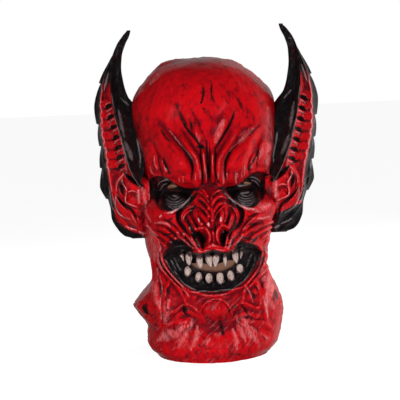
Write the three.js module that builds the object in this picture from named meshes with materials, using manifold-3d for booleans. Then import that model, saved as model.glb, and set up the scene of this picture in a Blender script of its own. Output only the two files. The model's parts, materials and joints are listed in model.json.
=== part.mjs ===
// Over-the-head demon mask in cast latex: a hollow head and neck with a heavy folded brow, sunken eyes,
// a short wide snout, a snarling mouth of separate stub teeth, and tall bat ears that each carry a black
// curved blade in front. The head goes in through the neck, and the mask stands on the neck's flat rim.
// Millimetres. +Z is up, the face looks along -Y, and the origin is under the middle, on the ground.
import * as THREE from 'three';
import { mergeVertices } from 'three/addons/utils/BufferGeometryUtils.js';
import Module from 'manifold-3d';

const wasm = await Module();
wasm.setup();

// Driving dimensions
const SKULL_TOP = 378;
const DOME_START = 308; // height where the upright wall turns into the domed skull
const WALL = 3.4;

// The face was laid out on a sheet held upright through the middle of the head, as a viewer standing in
// front sees it. A place on that sheet is (u, v): u to the right, v up from the lowest point in sight.
const VIEWER_DISTANCE = 1800;
const VIEWER_HEIGHT = 350;
const SHEET_FOOT = -20; // height of v = 0

// Grid of the cast skin: more columns towards the face, more rows where the carving is
const COLUMNS = 48;
const FRONT_CROWDING = 0.66;
const NECK_ROWS = 6;
const FACE_ROWS = 27;
const FOREHEAD_ROWS = 4;
const DOME_ROWS = 6;
const FACE_LOW = 88;
const FACE_HIGH = 272;

// Wall of the head at each height: half width, how far its middle leans to +X, and its reach to the front
// and to the back
const HALF_WIDTH = [
  [0, 74], [10, 83], [22, 86], [45, 86], [65, 82], [80, 79], [97, 74], [112, 73], [128, 77], [147, 81],
  [170, 83], [200, 80], [222, 80], [245, 83], [262, 87], [282, 90], [308, 92],
];
const LEAN = [
  [0, -4], [25, -2.5], [45, -1.5], [80, -2], [110, -4.5], [135, -6], [165, -4], [195, 0], [245, 0], [290, -2],
  [330, -4], [378, -3],
];
const FRONT_REACH = [
  [0, 94], [10, 98], [22, 99], [50, 95], [80, 96], [110, 100], [145, 103], [200, 104], [245, 106], [275, 107],
  [308, 101],
];
const BACK_REACH = [
  [0, 74], [10, 81], [25, 84], [60, 78], [90, 73], [120, 74], [150, 83], [190, 98], [230, 108], [270, 112],
  [308, 108],
];
const ROUNDNESS = 2.2; // 2 is an ellipse, and more is squarer
const DOME_ROUNDNESS = 2.3;

const clamp = (t, low = 0, high = 1) => Math.min(high, Math.max(low, t));
const ease = (from, to, value) => {
  const t = clamp((value - from) / (to - from));
  return t * t * (3 - 2 * t);
};

// A smooth function through [place, value] pairs, level beyond both ends
function through(keys) {
  const slope = (i) => {
    if (i === 0 || i === keys.length - 1) return 0;
    const before = (keys[i][1] - keys[i - 1][1]) / (keys[i][0] - keys[i - 1][0]);
    const after = (keys[i + 1][1] - keys[i][1]) / (keys[i + 1][0] - keys[i][0]);
    return before * after <= 0 ? 0 : (2 * before * after) / (before + after);
  };
  return (place) => {
    const i = keys.findIndex((key) => place < key[0]) - 1;
    if (i === -1) return keys[0][1];
    if (i < 0) return keys[keys.length - 1][1];
    const run = keys[i + 1][0] - keys[i][0];
    const t = (place - keys[i][0]) / run;
    const near = keys[i][1] * (1 + 2 * t) + run * slope(i) * t;
    const far = keys[i + 1][1] * (3 - 2 * t) - run * slope(i + 1) * (1 - t);
    return near * (1 - t) ** 2 + far * t ** 2;
  };
}

const halfWidth = through(HALF_WIDTH);
const lean = through(LEAN);
const frontReach = through(FRONT_REACH);
const backReach = through(BACK_REACH);

// Between the sheet and space: where a point is seen, and the point seen at (u, v) and y deep
function seen(p) {
  const near = VIEWER_DISTANCE / (VIEWER_DISTANCE + p.y);
  return [p.x * near, VIEWER_HEIGHT + (p.z - VIEWER_HEIGHT) * near - SHEET_FOOT];
}
function spot(u, v, y) {
  const near = (VIEWER_DISTANCE + y) / VIEWER_DISTANCE;
  return new THREE.Vector3(u * near, y, VIEWER_HEIGHT + (v + SHEET_FOOT - VIEWER_HEIGHT) * near);
}
const viewer = new THREE.Vector3(0, -VIEWER_DISTANCE, VIEWER_HEIGHT);

// Forms of the face, each a height over the wall at a place (u, v)
const mound = (cu, cv, ru, rv, height) => (u, v) => {
  const r = ((u - cu) / ru) ** 2 + ((v - cv) / rv) ** 2;
  return r < 1 ? height * (1 - r) ** 2 : 0;
};
const ball = (cu, cv, ru, rv, height) => (u, v) => {
  const r = ((u - cu) / ru) ** 2 + ((v - cv) / rv) ** 2;
  return r < 1 ? height * Math.sqrt(1 - r) : 0;
};

const lineThrough = (places, steps) =>
  new THREE.SplineCurve(places.map(([u, v]) => new THREE.Vector2(u, v))).getPoints(steps);

// A rounded roll of skin along a smooth line. It rises over its first part, and its half width runs evenly
// from one end to the other.
const ROLL_STEPS = 10;
const ROLL_RISE = 0.35;
function roll(places, startWidth, endWidth, height) {
  const line = lineThrough(places, ROLL_STEPS);
  const widest = Math.max(startWidth, endWidth);
  const room = new THREE.Box2().setFromPoints(line).expandByScalar(widest);
  return (u, v) => {
    if (!room.containsPoint({ x: u, y: v })) return 0;
    let best = 0;
    for (let i = 0; i < ROLL_STEPS; i++) {
      const [a, b] = [line[i], line[i + 1]];
      const [du, dv] = [b.x - a.x, b.y - a.y];
      const t = clamp(((u - a.x) * du + (v - a.y) * dv) / (du * du + dv * dv));
      const away = Math.hypot(u - a.x - du * t, v - a.y - dv * t);
      const share = (i + t) / ROLL_STEPS;
      const width = startWidth + (endWidth - startWidth) * share;
      const round = Math.sqrt(Math.max(0, 1 - (away / width) ** 2));
      best = Math.max(best, height * round * ease(-0.05, ROLL_RISE, share));
    }
    return best;
  };
}

// Both sides are alike, so most forms are given once, for a positive u
const paired = (form) => (u, v) => form(Math.abs(u), v);
const highest = (forms) => (u, v) => forms.reduce((most, form) => Math.max(most, form(u, v)), 0);
const total = (forms) => (u, v) => forms.reduce((sum, form) => sum + form(u, v), 0);

// Mouth: the edges of the black gap between the lips, and how far its floor is sunk
const UPPER_LIP = [[0, 154], [8, 150], [15, 147], [25, 152], [34, 158], [44, 157], [56, 151], [64, 144]];
const LOWER_LIP = [[0, 96], [20, 97], [32, 103], [42, 111], [52, 122], [60, 136], [64, 144]];
const MOUTH_MIDDLE = 127;
const MOUTH_DEPTH = 17;
const mouthHollow = mound(0, MOUTH_MIDDLE, 92, 46, -MOUTH_DEPTH - 6);

const broadForms = total([
  paired(mound(32, 264, 62, 40, 14)), // brow mass
  mound(0, 300, 34, 40, 4), // middle of the forehead
  paired(mound(50, 223, 36, 27, -25)), // eye socket
  paired(mound(27, 228, 16, 13, -9)), // inner corner of the eye
  paired(mound(64, 200, 32, 28, 10)), // cheekbone
  mound(0, 138, 86, 60, 21), // muzzle
  mound(0, 184, 46, 50, 26), // snout
  mound(0, 236, 14, 18, -6), // root of the nose
  mound(0, 74, 40, 30, 12), // chin
  paired(mound(64, 90, 22, 46, 6)), // neck cord
  paired(mound(32, 62, 20, 26, -5)), // hollow beside the chin
  mound(0, 18, 50, 30, 4), // breast of the bib
]);

const foldedForms = highest([
  paired(roll([[72, 312], [50, 286], [37, 262], [35, 240]], 9, 15, 12)), // hanging brow lobe
  paired(roll([[42, 312], [24, 286], [14, 264], [14, 240]], 5, 7, 9)), // inner brow roll
  paired(roll([[5, 284], [5, 262], [5, 237]], 3, 4, 4)), // frown line
  paired(roll([[76, 276], [70, 262], [60, 254]], 9, 7, 6)), // outer brow lobe
  paired(roll([[22, 223], [33, 209], [46, 202], [62, 205]], 3, 6, 6)), // edge under the eye
  paired(roll([[16, 192], [15, 182], [8, 175], [5, 162]], 8, 5, 9)), // nose tip round the nostril
  paired(roll([[24, 206], [28, 192], [22, 177]], 6, 5, 10)), // wing of the nose
  paired(roll([[3, 226], [12, 214], [20, 200]], 4, 5, 5)), // wrinkle up the nose
  paired(roll([[37, 178], [27, 163], [17, 152]], 5, 6, 8)), // fold from the nose to the lip
  paired(roll([[30, 158], [16, 152], [8, 154], [0, 157]], 5, 6, 7)), // middle of the upper lip
  paired(roll([[20, 155], [36, 165], [54, 158], [68, 143]], 4, 5, 7)), // upper lip
  paired(roll([[68, 143], [59, 125], [45, 107], [24, 95], [0, 92]], 5, 5, 7)), // lower lip
  paired(roll([[40, 184], [56, 187], [72, 184], [86, 196]], 4, 6, 6)), // fold under the cheekbone
  paired(roll([[44, 172], [62, 172], [78, 176]], 5, 4, 5)), // second cheek fold
  ball(0, 70, 19, 14, 9), // chin
]);

// The grid is too wide for the sharp valleys, so each of its points takes the middle of those round it
const SOFTNESS = 2.6;
const AROUND = [-SOFTNESS, 0, SOFTNESS];
const softly = AROUND.flatMap((du) => AROUND.map((dv) => (u, v) => foldedForms(u + du, v + dv)));
const folds = (u, v) => total(softly)(u, v) / softly.length;
const carving = (u, v) => broadForms(u, v) + folds(u, v);

// Shoulder bulges on the neck, larger and more pointed on the mask's right
const SHOULDER_HEIGHT = 63;
function shoulder(p) {
  const reach = p.x < 0 ? 22 : 8;
  const spread = p.x < 0 ? 26 : 40;
  const side = ease(0.6, 1, Math.abs(p.x - lean(p.z)) / halfWidth(p.z));
  return reach * side * Math.max(0, 1 - Math.abs(p.z - SHOULDER_HEIGHT) / spread) ** 1.2;
}

// Two corners that make the top of the skull broader than a plain dome
const skullCorner = mound(42, 388, 34, 22, 4);

// A point of the bare wall and the way that carving moves it. Turn 0 is the face, and turn runs to +-pi.
const power = (value, exponent) => Math.sign(value) * Math.abs(value) ** exponent;
function bareWall(level, turn) {
  const rise = clamp((level - DOME_START) / (SKULL_TOP - DOME_START));
  const shrink = (1 - rise ** DOME_ROUNDNESS) ** (1 / DOME_ROUNDNESS);
  const [s, c] = [Math.sin(turn), Math.cos(turn)];
  const reach = c > 0 ? frontReach(level) : backReach(level);
  const width = halfWidth(level);
  const at = new THREE.Vector3(
    lean(level) + width * shrink * power(s, 2 / ROUNDNESS),
    -reach * shrink * power(c, 2 / ROUNDNESS),
    level,
  );
  const upward = rise ** (DOME_ROUNDNESS - 1) / (SKULL_TOP - DOME_START);
  const outward = new THREE.Vector3(s / width, -c / reach, upward).normalize();
  const towardsViewer = new THREE.Vector3().subVectors(viewer, at).normalize();
  const facing = ease(0.05, 0.6, outward.dot(towardsViewer));
  const way = outward.lerp(towardsViewer, facing).normalize();
  return { at, way, facing };
}
function carvedHeight(level, turn, relief) {
  const { at, facing } = bareWall(level, turn);
  const [u, v] = seen(at);
  const front = at.y < 0 ? ease(0, 0.35, facing) : 0;
  return relief(u, v) * front + shoulder(at) + skullCorner(Math.abs(u), v);
}

// Levels of the rows from the rim up to the crown
function spread(from, to, count) {
  return Array.from({ length: count }, (_, i) => from + ((to - from) * i) / count);
}
const RIM_LEVELS = [0, 3, 10];
const FEWEST_ROWS = 4;
function skinLevels(density) {
  const rows = (count) => Math.max(FEWEST_ROWS, Math.round(count * density));
  const dome = spread(0, Math.PI / 2, rows(DOME_ROWS));
  return [
    ...RIM_LEVELS,
    ...spread(20, FACE_LOW, rows(NECK_ROWS)),
    ...spread(FACE_LOW, FACE_HIGH, rows(FACE_ROWS)),
    ...spread(FACE_HIGH, DOME_START, rows(FOREHEAD_ROWS)),
    ...dome.map((angle) => DOME_START + (SKULL_TOP - DOME_START) * Math.sin(angle)),
  ];
}

// A closed skin on a lathe grid: from the foot on the axis up through the rows to the crown on the axis
function skin(levels, columns, foot, crown, place) {
  const profile = [new THREE.Vector2(0, 0)];
  levels.forEach((_, row) => profile.push(new THREE.Vector2(1, row + 1)));
  profile.push(new THREE.Vector2(0, levels.length + 1));
  const geometry = new THREE.LatheGeometry(profile, columns);
  const grid = geometry.getAttribute('position');
  for (let i = 0; i < grid.count; i++) {
    const row = Math.round(grid.getY(i));
    const even = Math.atan2(grid.getX(i), grid.getZ(i));
    const turn = even - FRONT_CROWDING * Math.sin(even);
    if (row === 0) grid.setXYZ(i, lean(0), 0, foot);
    else if (row > levels.length) grid.setXYZ(i, lean(SKULL_TOP), 0, crown);
    else {
      const p = place(levels[row - 1], turn, row);
      grid.setXYZ(i, p.x, p.y, p.z);
    }
  }
  return geometry;
}

const outerSkin = () =>
  skin(skinLevels(1), COLUMNS, 0, SKULL_TOP, (level, turn) => {
    const { at, way } = bareWall(level, turn);
    const p = at.addScaledVector(way, carvedHeight(level, turn, carving));
    if (level < RIM_LEVELS[1]) p.z = 0;
    return p;
  });

// Inside of the latex: the wall's thickness in from the lowest carving round each place
const INNER_COLUMNS = 20;
const INNER_DENSITY = 0.3;
const LOOK_UP = 8;
const LOOK_ROUND = 0.09;
const BELOW_RIM = 12;
const insideForms = total([broadForms, mouthHollow, mound(0, 167, 34, 22, -6)]);
const innerSkin = () =>
  skin(skinLevels(INNER_DENSITY), INNER_COLUMNS, -BELOW_RIM, SKULL_TOP - WALL, (level, turn, row) => {
    let lowest = Infinity;
    for (const up of [-LOOK_UP, 0, LOOK_UP]) {
      for (const round of [-LOOK_ROUND, 0, LOOK_ROUND]) {
        lowest = Math.min(lowest, carvedHeight(clamp(level + up, 0, SKULL_TOP), turn + round, insideForms));
      }
    }
    const { at, way } = bareWall(level, turn);
    const p = at.addScaledVector(way, lowest - WALL);
    if (row === 1) p.z = -BELOW_RIM;
    return p;
  });

// The face without its folds at a place on the sheet, sunk by a depth, for what is set into it
const SETTLE_STEPS = 8;
function onFace(u, v, sunk) {
  let y = -frontReach(0);
  for (let i = 0; i < SETTLE_STEPS; i++) {
    const { x, z } = spot(u, v, y);
    const across = clamp(Math.abs(x - lean(z)) / halfWidth(z));
    y = -frontReach(z) * (1 - across ** ROUNDNESS) ** (1 / ROUNDNESS);
  }
  return spot(u, v, y - broadForms(u, v) + sunk);
}

function asSolid(geometry) {
  const bare = geometry.clone();
  bare.deleteAttribute('normal');
  bare.deleteAttribute('uv');
  const merged = mergeVertices(bare, 1e-3);
  const vertProperties = new Float32Array(merged.attributes.position.array);
  const triVerts = new Uint32Array(merged.index.array);
  const solid = new wasm.Manifold(new wasm.Mesh({ numProp: 3, vertProperties, triVerts }));
  if (solid.volume() > 0) return solid;
  return new wasm.Manifold(new wasm.Mesh({ numProp: 3, vertProperties, triVerts: triVerts.reverse() }));
}

// A solid drawn through closed sections, each with the same number of places all round it
function loft(sections) {
  const around = sections[0].length;
  const middle = (section) => section.reduce((sum, p) => sum.add(p), new THREE.Vector3()).divideScalar(around);
  const ends = [middle(sections[0]), middle(sections[sections.length - 1])];
  const profile = [new THREE.Vector2(0, 0)];
  sections.forEach((_, row) => profile.push(new THREE.Vector2(1, row + 1)));
  profile.push(new THREE.Vector2(0, sections.length + 1));
  const geometry = new THREE.LatheGeometry(profile, around);
  const grid = geometry.getAttribute('position');
  for (let i = 0; i < grid.count; i++) {
    const row = Math.round(grid.getY(i));
    const angle = Math.atan2(grid.getX(i), grid.getZ(i));
    const column = Math.round((angle / (2 * Math.PI) + 1) * around) % around;
    const p = row === 0 ? ends[0] : row > sections.length ? ends[1] : sections[row - 1][column];
    grid.setXYZ(i, p.x, p.y, p.z);
  }
  return geometry;
}

// Both ears and blades lean a little to one side, by the height on the sheet
const earLean = through([
  [175, -3], [200, -4.5], [225, -3.2], [255, -3], [290, -1], [335, 0], [385, 2], [437.5, 4],
]);

// Blade in front of each ear: a curved horn-like leaf, hollow in front. Its lines are on the sheet.
const BLADE_FOOT = 236;
const BLADE_TIP = 437.5;
const BLADE_ROWS = 12;
const BLADE_ACROSS = 5;
const bladeInner = through([
  [236, 86], [262, 80], [300, 84], [335, 92], [350, 100], [370, 106], [390, 108], [410, 105], [425, 100.5],
  [437.5, 97.5],
]);
const bladeRim = through([
  [236, 89], [250, 96], [270, 104], [300, 112], [335, 120], [365, 123], [390, 121], [410, 116], [425, 110],
  [437.5, 99.5],
]);
const bladeRimDepth = through([
  [236, -50], [255, -58], [270, -57], [300, -48], [335, -35], [370, -22], [400, -12], [437.5, 0],
]);
const bladeInnerDepth = through([
  [236, -48], [262, -45], [300, -40], [335, -20], [370, -8], [400, -3], [437.5, 2],
]);
const bladeHollow = through([[236, 1], [270, 9], [330, 13], [370, 10], [400, 5], [437.5, 0.5]]);
const bladeThickness = through([[236, 10], [300, 12], [350, 9], [400, 6], [437.5, 2.5]]);

function blade(side) {
  const sections = [];
  for (let row = 0; row <= BLADE_ROWS; row++) {
    const v = BLADE_FOOT + (BLADE_TIP - BLADE_FOOT) * (row / BLADE_ROWS);
    const across = (t, behind) => {
      const u = bladeInner(v) + (bladeRim(v) - bladeInner(v)) * t;
      const edge = bladeInnerDepth(v) + (bladeRimDepth(v) - bladeInnerDepth(v)) * t;
      const bow = Math.sin(Math.PI * t) ** 0.7;
      const y = edge + bow * (bladeHollow(v) + (behind ? bladeThickness(v) : 0));
      return spot(u * side + earLean(v), v, y);
    };
    const front = Array.from({ length: BLADE_ACROSS + 1 }, (_, i) => across(i / BLADE_ACROSS, false));
    const back = Array.from({ length: BLADE_ACROSS - 1 }, (_, i) => across(1 - (i + 1) / BLADE_ACROSS, true));
    sections.push([...front, ...back]);
  }
  return loft(sections);
}

// Bat ear behind the blade: a ribbed band, a black outer fin with long steps, and a plain back
const EAR_FOOT = 169;
const EAR_TOP = 419;
const EAR_ROWS = 18;
const earOuter = through([
  [169, 100], [173, 110], [182, 118], [196, 124], [208, 125], [222, 130], [240, 137], [262, 138.5], [285, 140],
  [315, 142.5], [340, 144.5], [360, 141], [385, 131], [404, 122.5], [419, 113],
]);
const earBand = through([
  [169, 92], [182, 104], [200, 114], [222, 122], [250, 126], [280, 131], [315, 136], [345, 136], [370, 132],
  [395, 123], [419, 112],
]);
const earMiddle = through([
  [169, 86], [200, 98], [230, 104], [250, 104], [300, 112], [335, 119], [365, 122], [390, 119], [419, 111],
]);
const earRoot = through([[169, 74], [330, 78], [345, 92], [358, 104], [370, 110], [390, 112], [419, 107]]);
const earMiddleDepth = through([
  [169, -20], [190, -30], [225, -42], [250, -42], [300, -34], [335, -22], [370, -8], [419, -3],
]);
const earBandDepth = through([
  [169, -12], [200, -16], [225, -18], [250, -15], [300, -8], [335, -2], [370, 5], [419, -1],
]);
const earOuterDepth = through([[169, 0], [200, 6], [240, 14], [300, 20], [335, 21], [370, 16], [419, 0]]);
const earThickness = through([[169, 18], [200, 30], [250, 34], [300, 30], [335, 24], [370, 14], [419, 3]]);
const FIN_STEP = 34;
const FIN_DEPTH = 2.4;
const finStep = (v) => FIN_DEPTH * ((((v - EAR_FOOT) / FIN_STEP) % 1) - 0.5);

function ear(side) {
  const sections = [];
  for (let row = 0; row <= EAR_ROWS; row++) {
    const v = EAR_FOOT + (EAR_TOP - EAR_FOOT) * (row / EAR_ROWS);
    const outer = earOuter(v) + finStep(v);
    const [root, middle, band] = [earRoot(v), earMiddle(v), earBand(v)];
    const [near, far, outmost] = [earMiddleDepth(v), earBandDepth(v), earOuterDepth(v)];
    const deep = near + earThickness(v);
    const section = [
      [root, near + 3],
      [middle, near],
      [(middle + band) / 2, (near + far) / 2 + 2],
      [band, far],
      [outer, outmost],
      [outer - 2, outmost + 5],
      [(outer + middle) / 2, (deep + outmost) / 2 + 6],
      [middle, deep],
      [root, deep],
    ];
    sections.push(section.map(([u, y]) => spot(u * side + earLean(v), v, y)));
  }
  return loft(sections);
}

// A round bar along a line of places on the sheet, sunk in the face
const BAR_SIDES = 6;
function bar(places, steps, radius, sunk) {
  const line = lineThrough(places, steps);
  const centres = line.map(({ x, y }) => onFace(x, y, sunk));
  return loft(
    centres.map((centre, i) => {
      const along = new THREE.Vector3();
      along.subVectors(centres[Math.min(i + 1, steps)], centres[Math.max(i - 1, 0)]).normalize();
      const forwards = new THREE.Vector3(0, -1, 0).addScaledVector(along, along.y).normalize();
      const upwards = new THREE.Vector3().crossVectors(forwards, along);
      const end = i === 0 || i === steps ? 0.5 : 1;
      return Array.from({ length: BAR_SIDES }, (_, side) => {
        const angle = (side / BAR_SIDES) * 2 * Math.PI;
        const p = centre.clone().addScaledVector(forwards, radius * end * Math.cos(angle));
        return p.addScaledVector(upwards, radius * end * Math.sin(angle));
      });
    }),
  );
}
const UPPER_GUM = [[-46, 149], [-24, 146], [0, 146], [24, 146], [46, 149]];
const LOWER_GUM = [[-42, 123], [-24, 109], [0, 105], [24, 109], [42, 123]];
const gums = () => [bar(UPPER_GUM, 8, 7, MOUTH_DEPTH - 4), bar(LOWER_GUM, 8, 9, MOUTH_DEPTH - 5)];

// Sunken mouth: the lips' outline drawn in towards the floor, as [share of the outline, depth] rings
const MOUTH_RINGS = [[1, -40], [1, 3], [0.93, MOUTH_DEPTH - 2], [0.6, MOUTH_DEPTH]];
const MOUTH_STEPS = 7;
function mouthOpening() {
  const [top, low] = [UPPER_LIP, LOWER_LIP].map((places) => lineThrough(places, MOUTH_STEPS));
  const right = [...low.slice(0, -1), ...top.reverse()].map(({ x, y }) => [x, y]);
  const left = right.slice(1, -1).reverse().map(([u, v]) => [-u, v]);
  return loft(
    MOUTH_RINGS.map(([share, sunk]) =>
      [...right, ...left].map(([u, v]) => {
        const [inU, inV] = [u * share, MOUTH_MIDDLE + (v - MOUTH_MIDDLE) * share];
        return onFace(inU, inV, sunk);
      }),
    ),
  );
}

// Teeth on the sheet: [u and v in the gum, u and v of the point, half width]
const TEETH = [
  [-40, 147, -37.5, 136, 2.6], [-31, 147, -31.5, 130, 4.2], [-17, 143, -17, 126, 3.9],
  [-6.5, 143, -3, 126.5, 4.6], [5.5, 143, 3, 126.5, 4.6], [16, 143, 16, 126, 2.6],
  [28, 147, 31, 131, 4.4], [38, 148, 36, 136, 2.4], [-33.5, 115, -33, 129, 4.6],
  [-20, 107, -19, 121, 4.6], [-6.5, 104, -6, 120.5, 4.8], [9, 103, 8.5, 120.5, 5.4],
  [22, 107, 21, 122.5, 4.8], [34.5, 116, 34, 129.5, 5],
];
const TOOTH_SIDES = 6;
const TOOTH_PROFILE = [[0, 0.8], [0.5, 1], [0.9, 0.5]]; // share of the length, of the width
const TOOTH_SUNK = 7;

function tooth([gumU, gumV, tipU, tipV, width]) {
  const gum = onFace(gumU, gumV, TOOTH_SUNK);
  const tip = spot(tipU, tipV, gum.y);
  const length = gum.distanceTo(tip);
  const profile = TOOTH_PROFILE.map(([along, wide]) => new THREE.Vector2(width * wide, length * along));
  const geometry = new THREE.LatheGeometry(
    [new THREE.Vector2(0, 0), ...profile, new THREE.Vector2(0, length)],
    TOOTH_SIDES,
  );
  const aim = new THREE.Vector3().subVectors(tip, gum).normalize();
  geometry.applyQuaternion(new THREE.Quaternion().setFromUnitVectors(new THREE.Vector3(0, 1, 0), aim));
  geometry.translate(gum.x, gum.y, gum.z);
  return geometry;
}

// Eggs set into the face, turned with it: the swollen eyes, and the nostrils that are cut
const EYE = { place: [48, 217], sunk: 9, radii: [20, 12, 14], turned: 0.6 };
const NOSTRIL = { place: [14, 166], sunk: -4, radii: [6, 12, 8], turned: 0 };
const eggs = ({ place: [u, v], sunk, radii, turned }) =>
  [-1, 1].map((side) => {
    const geometry = new THREE.SphereGeometry(1, 10, 6);
    geometry.scale(...radii);
    geometry.rotateZ(side * turned);
    const { x, y, z } = onFace(side * u, v, sunk);
    return geometry.translate(x, y, z);
  });

// Openings through the latex: an outline on the sheet, pushed straight back through the wall
const OPENING_RUN = 90;
const MOUTH_GAP_Y = -112;
const EYE_GAP_Y = -74;
const MOUTH_GAP = [
  [-29, 131], [-15, 131], [0, 127], [15, 131], [29, 132], [24, 124], [5, 119.5], [-20, 124],
];
const EYE_GAP = [[32, 228], [40, 232], [52, 233], [58, 229], [48, 228]];
function openingAt(middleY, corners) {
  const places = corners.map(([u, v]) => {
    const p = spot(u, v, middleY);
    return new THREE.Vector2(p.x, p.z);
  });
  const settings = { depth: OPENING_RUN, bevelEnabled: false };
  const geometry = new THREE.ExtrudeGeometry(new THREE.Shape(places), settings);
  geometry.rotateX(Math.PI / 2);
  geometry.translate(0, middleY + OPENING_RUN / 2, 0);
  return geometry;
}

function castMask() {
  let solid = asSolid(outerSkin());
  const add = (form) => {
    solid = solid.add(asSolid(form));
  };
  const cut = (form) => {
    solid = solid.subtract(asSolid(form));
  };
  eggs(EYE).forEach(add);
  cut(mouthOpening());
  gums().forEach(add);
  eggs(NOSTRIL).forEach(cut);
  cut(openingAt(MOUTH_GAP_Y, MOUTH_GAP));
  for (const side of [-1, 1]) {
    cut(openingAt(EYE_GAP_Y, EYE_GAP.map(([u, v]) => [u * side, v])));
    add(blade(side));
    add(ear(side));
  }
  TEETH.forEach((place) => add(tooth(place)));
  cut(innerSkin());
  return solid;
}

function meshOf(solid) {
  const { numProp, vertProperties, triVerts } = solid.getMesh();
  const places = new Float32Array((vertProperties.length / numProp) * 3);
  for (let i = 0; i < places.length / 3; i++) {
    places.set(vertProperties.subarray(i * numProp, i * numProp + 3), i * 3);
  }
  const geometry = new THREE.BufferGeometry();
  geometry.setAttribute('position', new THREE.BufferAttribute(places, 3));
  geometry.setIndex(new THREE.BufferAttribute(triVerts, 1));
  geometry.computeVertexNormals();
  return geometry;
}

const latex = new THREE.MeshStandardMaterial({ color: 0xb3101a, roughness: 0.42, metalness: 0 });

// The layout's middle is the neck's, so the whole is moved back until its own middle is over the origin
const mask = new THREE.Mesh(meshOf(castMask()), latex);
mask.name = 'demon_mask';
mask.geometry.computeBoundingBox();
const middle = mask.geometry.boundingBox.getCenter(new THREE.Vector3());
mask.position.set(-middle.x, -middle.y, 0);

const group = new THREE.Group();
group.add(mask);
export default group;
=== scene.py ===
import json
import math

import bpy
import numpy as np
from mathutils import Matrix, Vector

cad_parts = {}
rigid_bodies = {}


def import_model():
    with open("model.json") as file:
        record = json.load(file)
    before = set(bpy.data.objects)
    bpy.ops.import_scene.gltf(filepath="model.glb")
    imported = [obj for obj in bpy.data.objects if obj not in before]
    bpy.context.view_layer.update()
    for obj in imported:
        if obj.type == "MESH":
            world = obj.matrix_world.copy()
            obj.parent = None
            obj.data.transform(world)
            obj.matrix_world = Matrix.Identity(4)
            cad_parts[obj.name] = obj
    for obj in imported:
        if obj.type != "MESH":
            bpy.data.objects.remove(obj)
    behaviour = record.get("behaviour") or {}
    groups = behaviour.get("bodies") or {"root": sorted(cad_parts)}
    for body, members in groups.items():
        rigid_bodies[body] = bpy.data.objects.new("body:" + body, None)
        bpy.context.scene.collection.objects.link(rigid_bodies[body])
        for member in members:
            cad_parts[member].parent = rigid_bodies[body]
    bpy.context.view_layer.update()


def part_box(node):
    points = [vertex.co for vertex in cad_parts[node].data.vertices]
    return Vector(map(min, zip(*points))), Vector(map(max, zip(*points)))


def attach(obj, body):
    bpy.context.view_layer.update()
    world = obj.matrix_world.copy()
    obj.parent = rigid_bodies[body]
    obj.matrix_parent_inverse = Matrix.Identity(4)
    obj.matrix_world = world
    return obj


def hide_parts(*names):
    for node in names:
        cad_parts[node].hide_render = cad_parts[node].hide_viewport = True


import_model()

MASK_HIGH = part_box("demon_mask")[1]
MM = 0.001

VIEWER_DISTANCE = 1800  # from the middle of the head
VIEWER_HEIGHT = 350
SHEET_FOOT = -20  # height of the sheet's zero, a little under the table
SHEET_SHOWN = 518  # height of the sheet that fills the photograph
SHEET_MIDDLE = (-13, 215.3)  # place on the sheet at the middle of the photograph
ROLL = 0.0457  # how far the photograph is turned, in radians
SKULL_TOP = 378
DOME_START = 308
WALL = 3.4
DEEPEST = 112  # reach of the back of the head from the middle of the neck
SHIFT = MASK_HIGH[1] / MM - DEEPEST  # the mask's middle stands over the origin, not the neck's

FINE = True


# Lines and noise

def through(*keys):
    """A smooth function through (place, value) pairs, level beyond both ends."""
    places, values = np.array(keys, float).T
    rise = np.diff(values) / np.diff(places)
    before, after = rise[:-1], rise[1:]
    same = before * after > 0
    slopes = np.zeros(len(places))
    slopes[1:-1][same] = 2 * before[same] * after[same] / (before[same] + after[same])

    def at(place):
        place = np.clip(place, places[0], places[-1])
        i = np.clip(np.searchsorted(places, place, "right") - 1, 0, len(places) - 2)
        run = places[i + 1] - places[i]
        t = (place - places[i]) / run
        near = values[i] * (1 + 2 * t) + run * slopes[i] * t
        far = values[i + 1] * (3 - 2 * t) - run * slopes[i + 1] * (1 - t)
        return near * (1 - t) ** 2 + far * t ** 2
    return at


def ease(start, end, value):
    """A smooth step from 0 to 1 while a value goes from start to end."""
    t = np.clip((value - start) / (end - start), 0, 1)
    return t * t * (3 - 2 * t)


LATTICE = 32  # lumps along each side before the noise repeats


def noise(places, lump, seed):
    """Smooth noise between -1 and 1 over places in space, with lumps of a size."""
    lattice = np.random.default_rng(seed).uniform(-1, 1, (LATTICE, LATTICE, LATTICE))
    scaled = places / lump
    cell = np.floor(scaled).astype(int)
    t = scaled - cell
    t = t * t * (3 - 2 * t)
    total = np.zeros(len(places))
    for corner in np.ndindex(2, 2, 2):
        weight = np.prod(np.where(corner, t, 1 - t), axis=1)
        total += weight * lattice[tuple(((cell + corner) % LATTICE).T)]
    return total


def smooth_line(places, steps=5):
    """Places along a smooth line through flat (u, v, u, v ...) numbers."""
    p = np.array(places, float).reshape(-1, 2)
    if len(p) == 2:
        return p
    p = np.vstack([2 * p[0] - p[1], p, 2 * p[-1] - p[-2]])
    t = np.arange(steps)[:, None] / steps
    runs = []
    for a, b, c, d in zip(p[:-3], p[1:-2], p[2:-1], p[3:]):
        runs.append(b + t * (c - a) / 2 + t ** 2 * (a - 2.5 * b + 2 * c - d / 2)
                    + t ** 3 * (1.5 * b - 1.5 * c + (d - a) / 2))
    return np.vstack(runs + [p[-2]])


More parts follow.
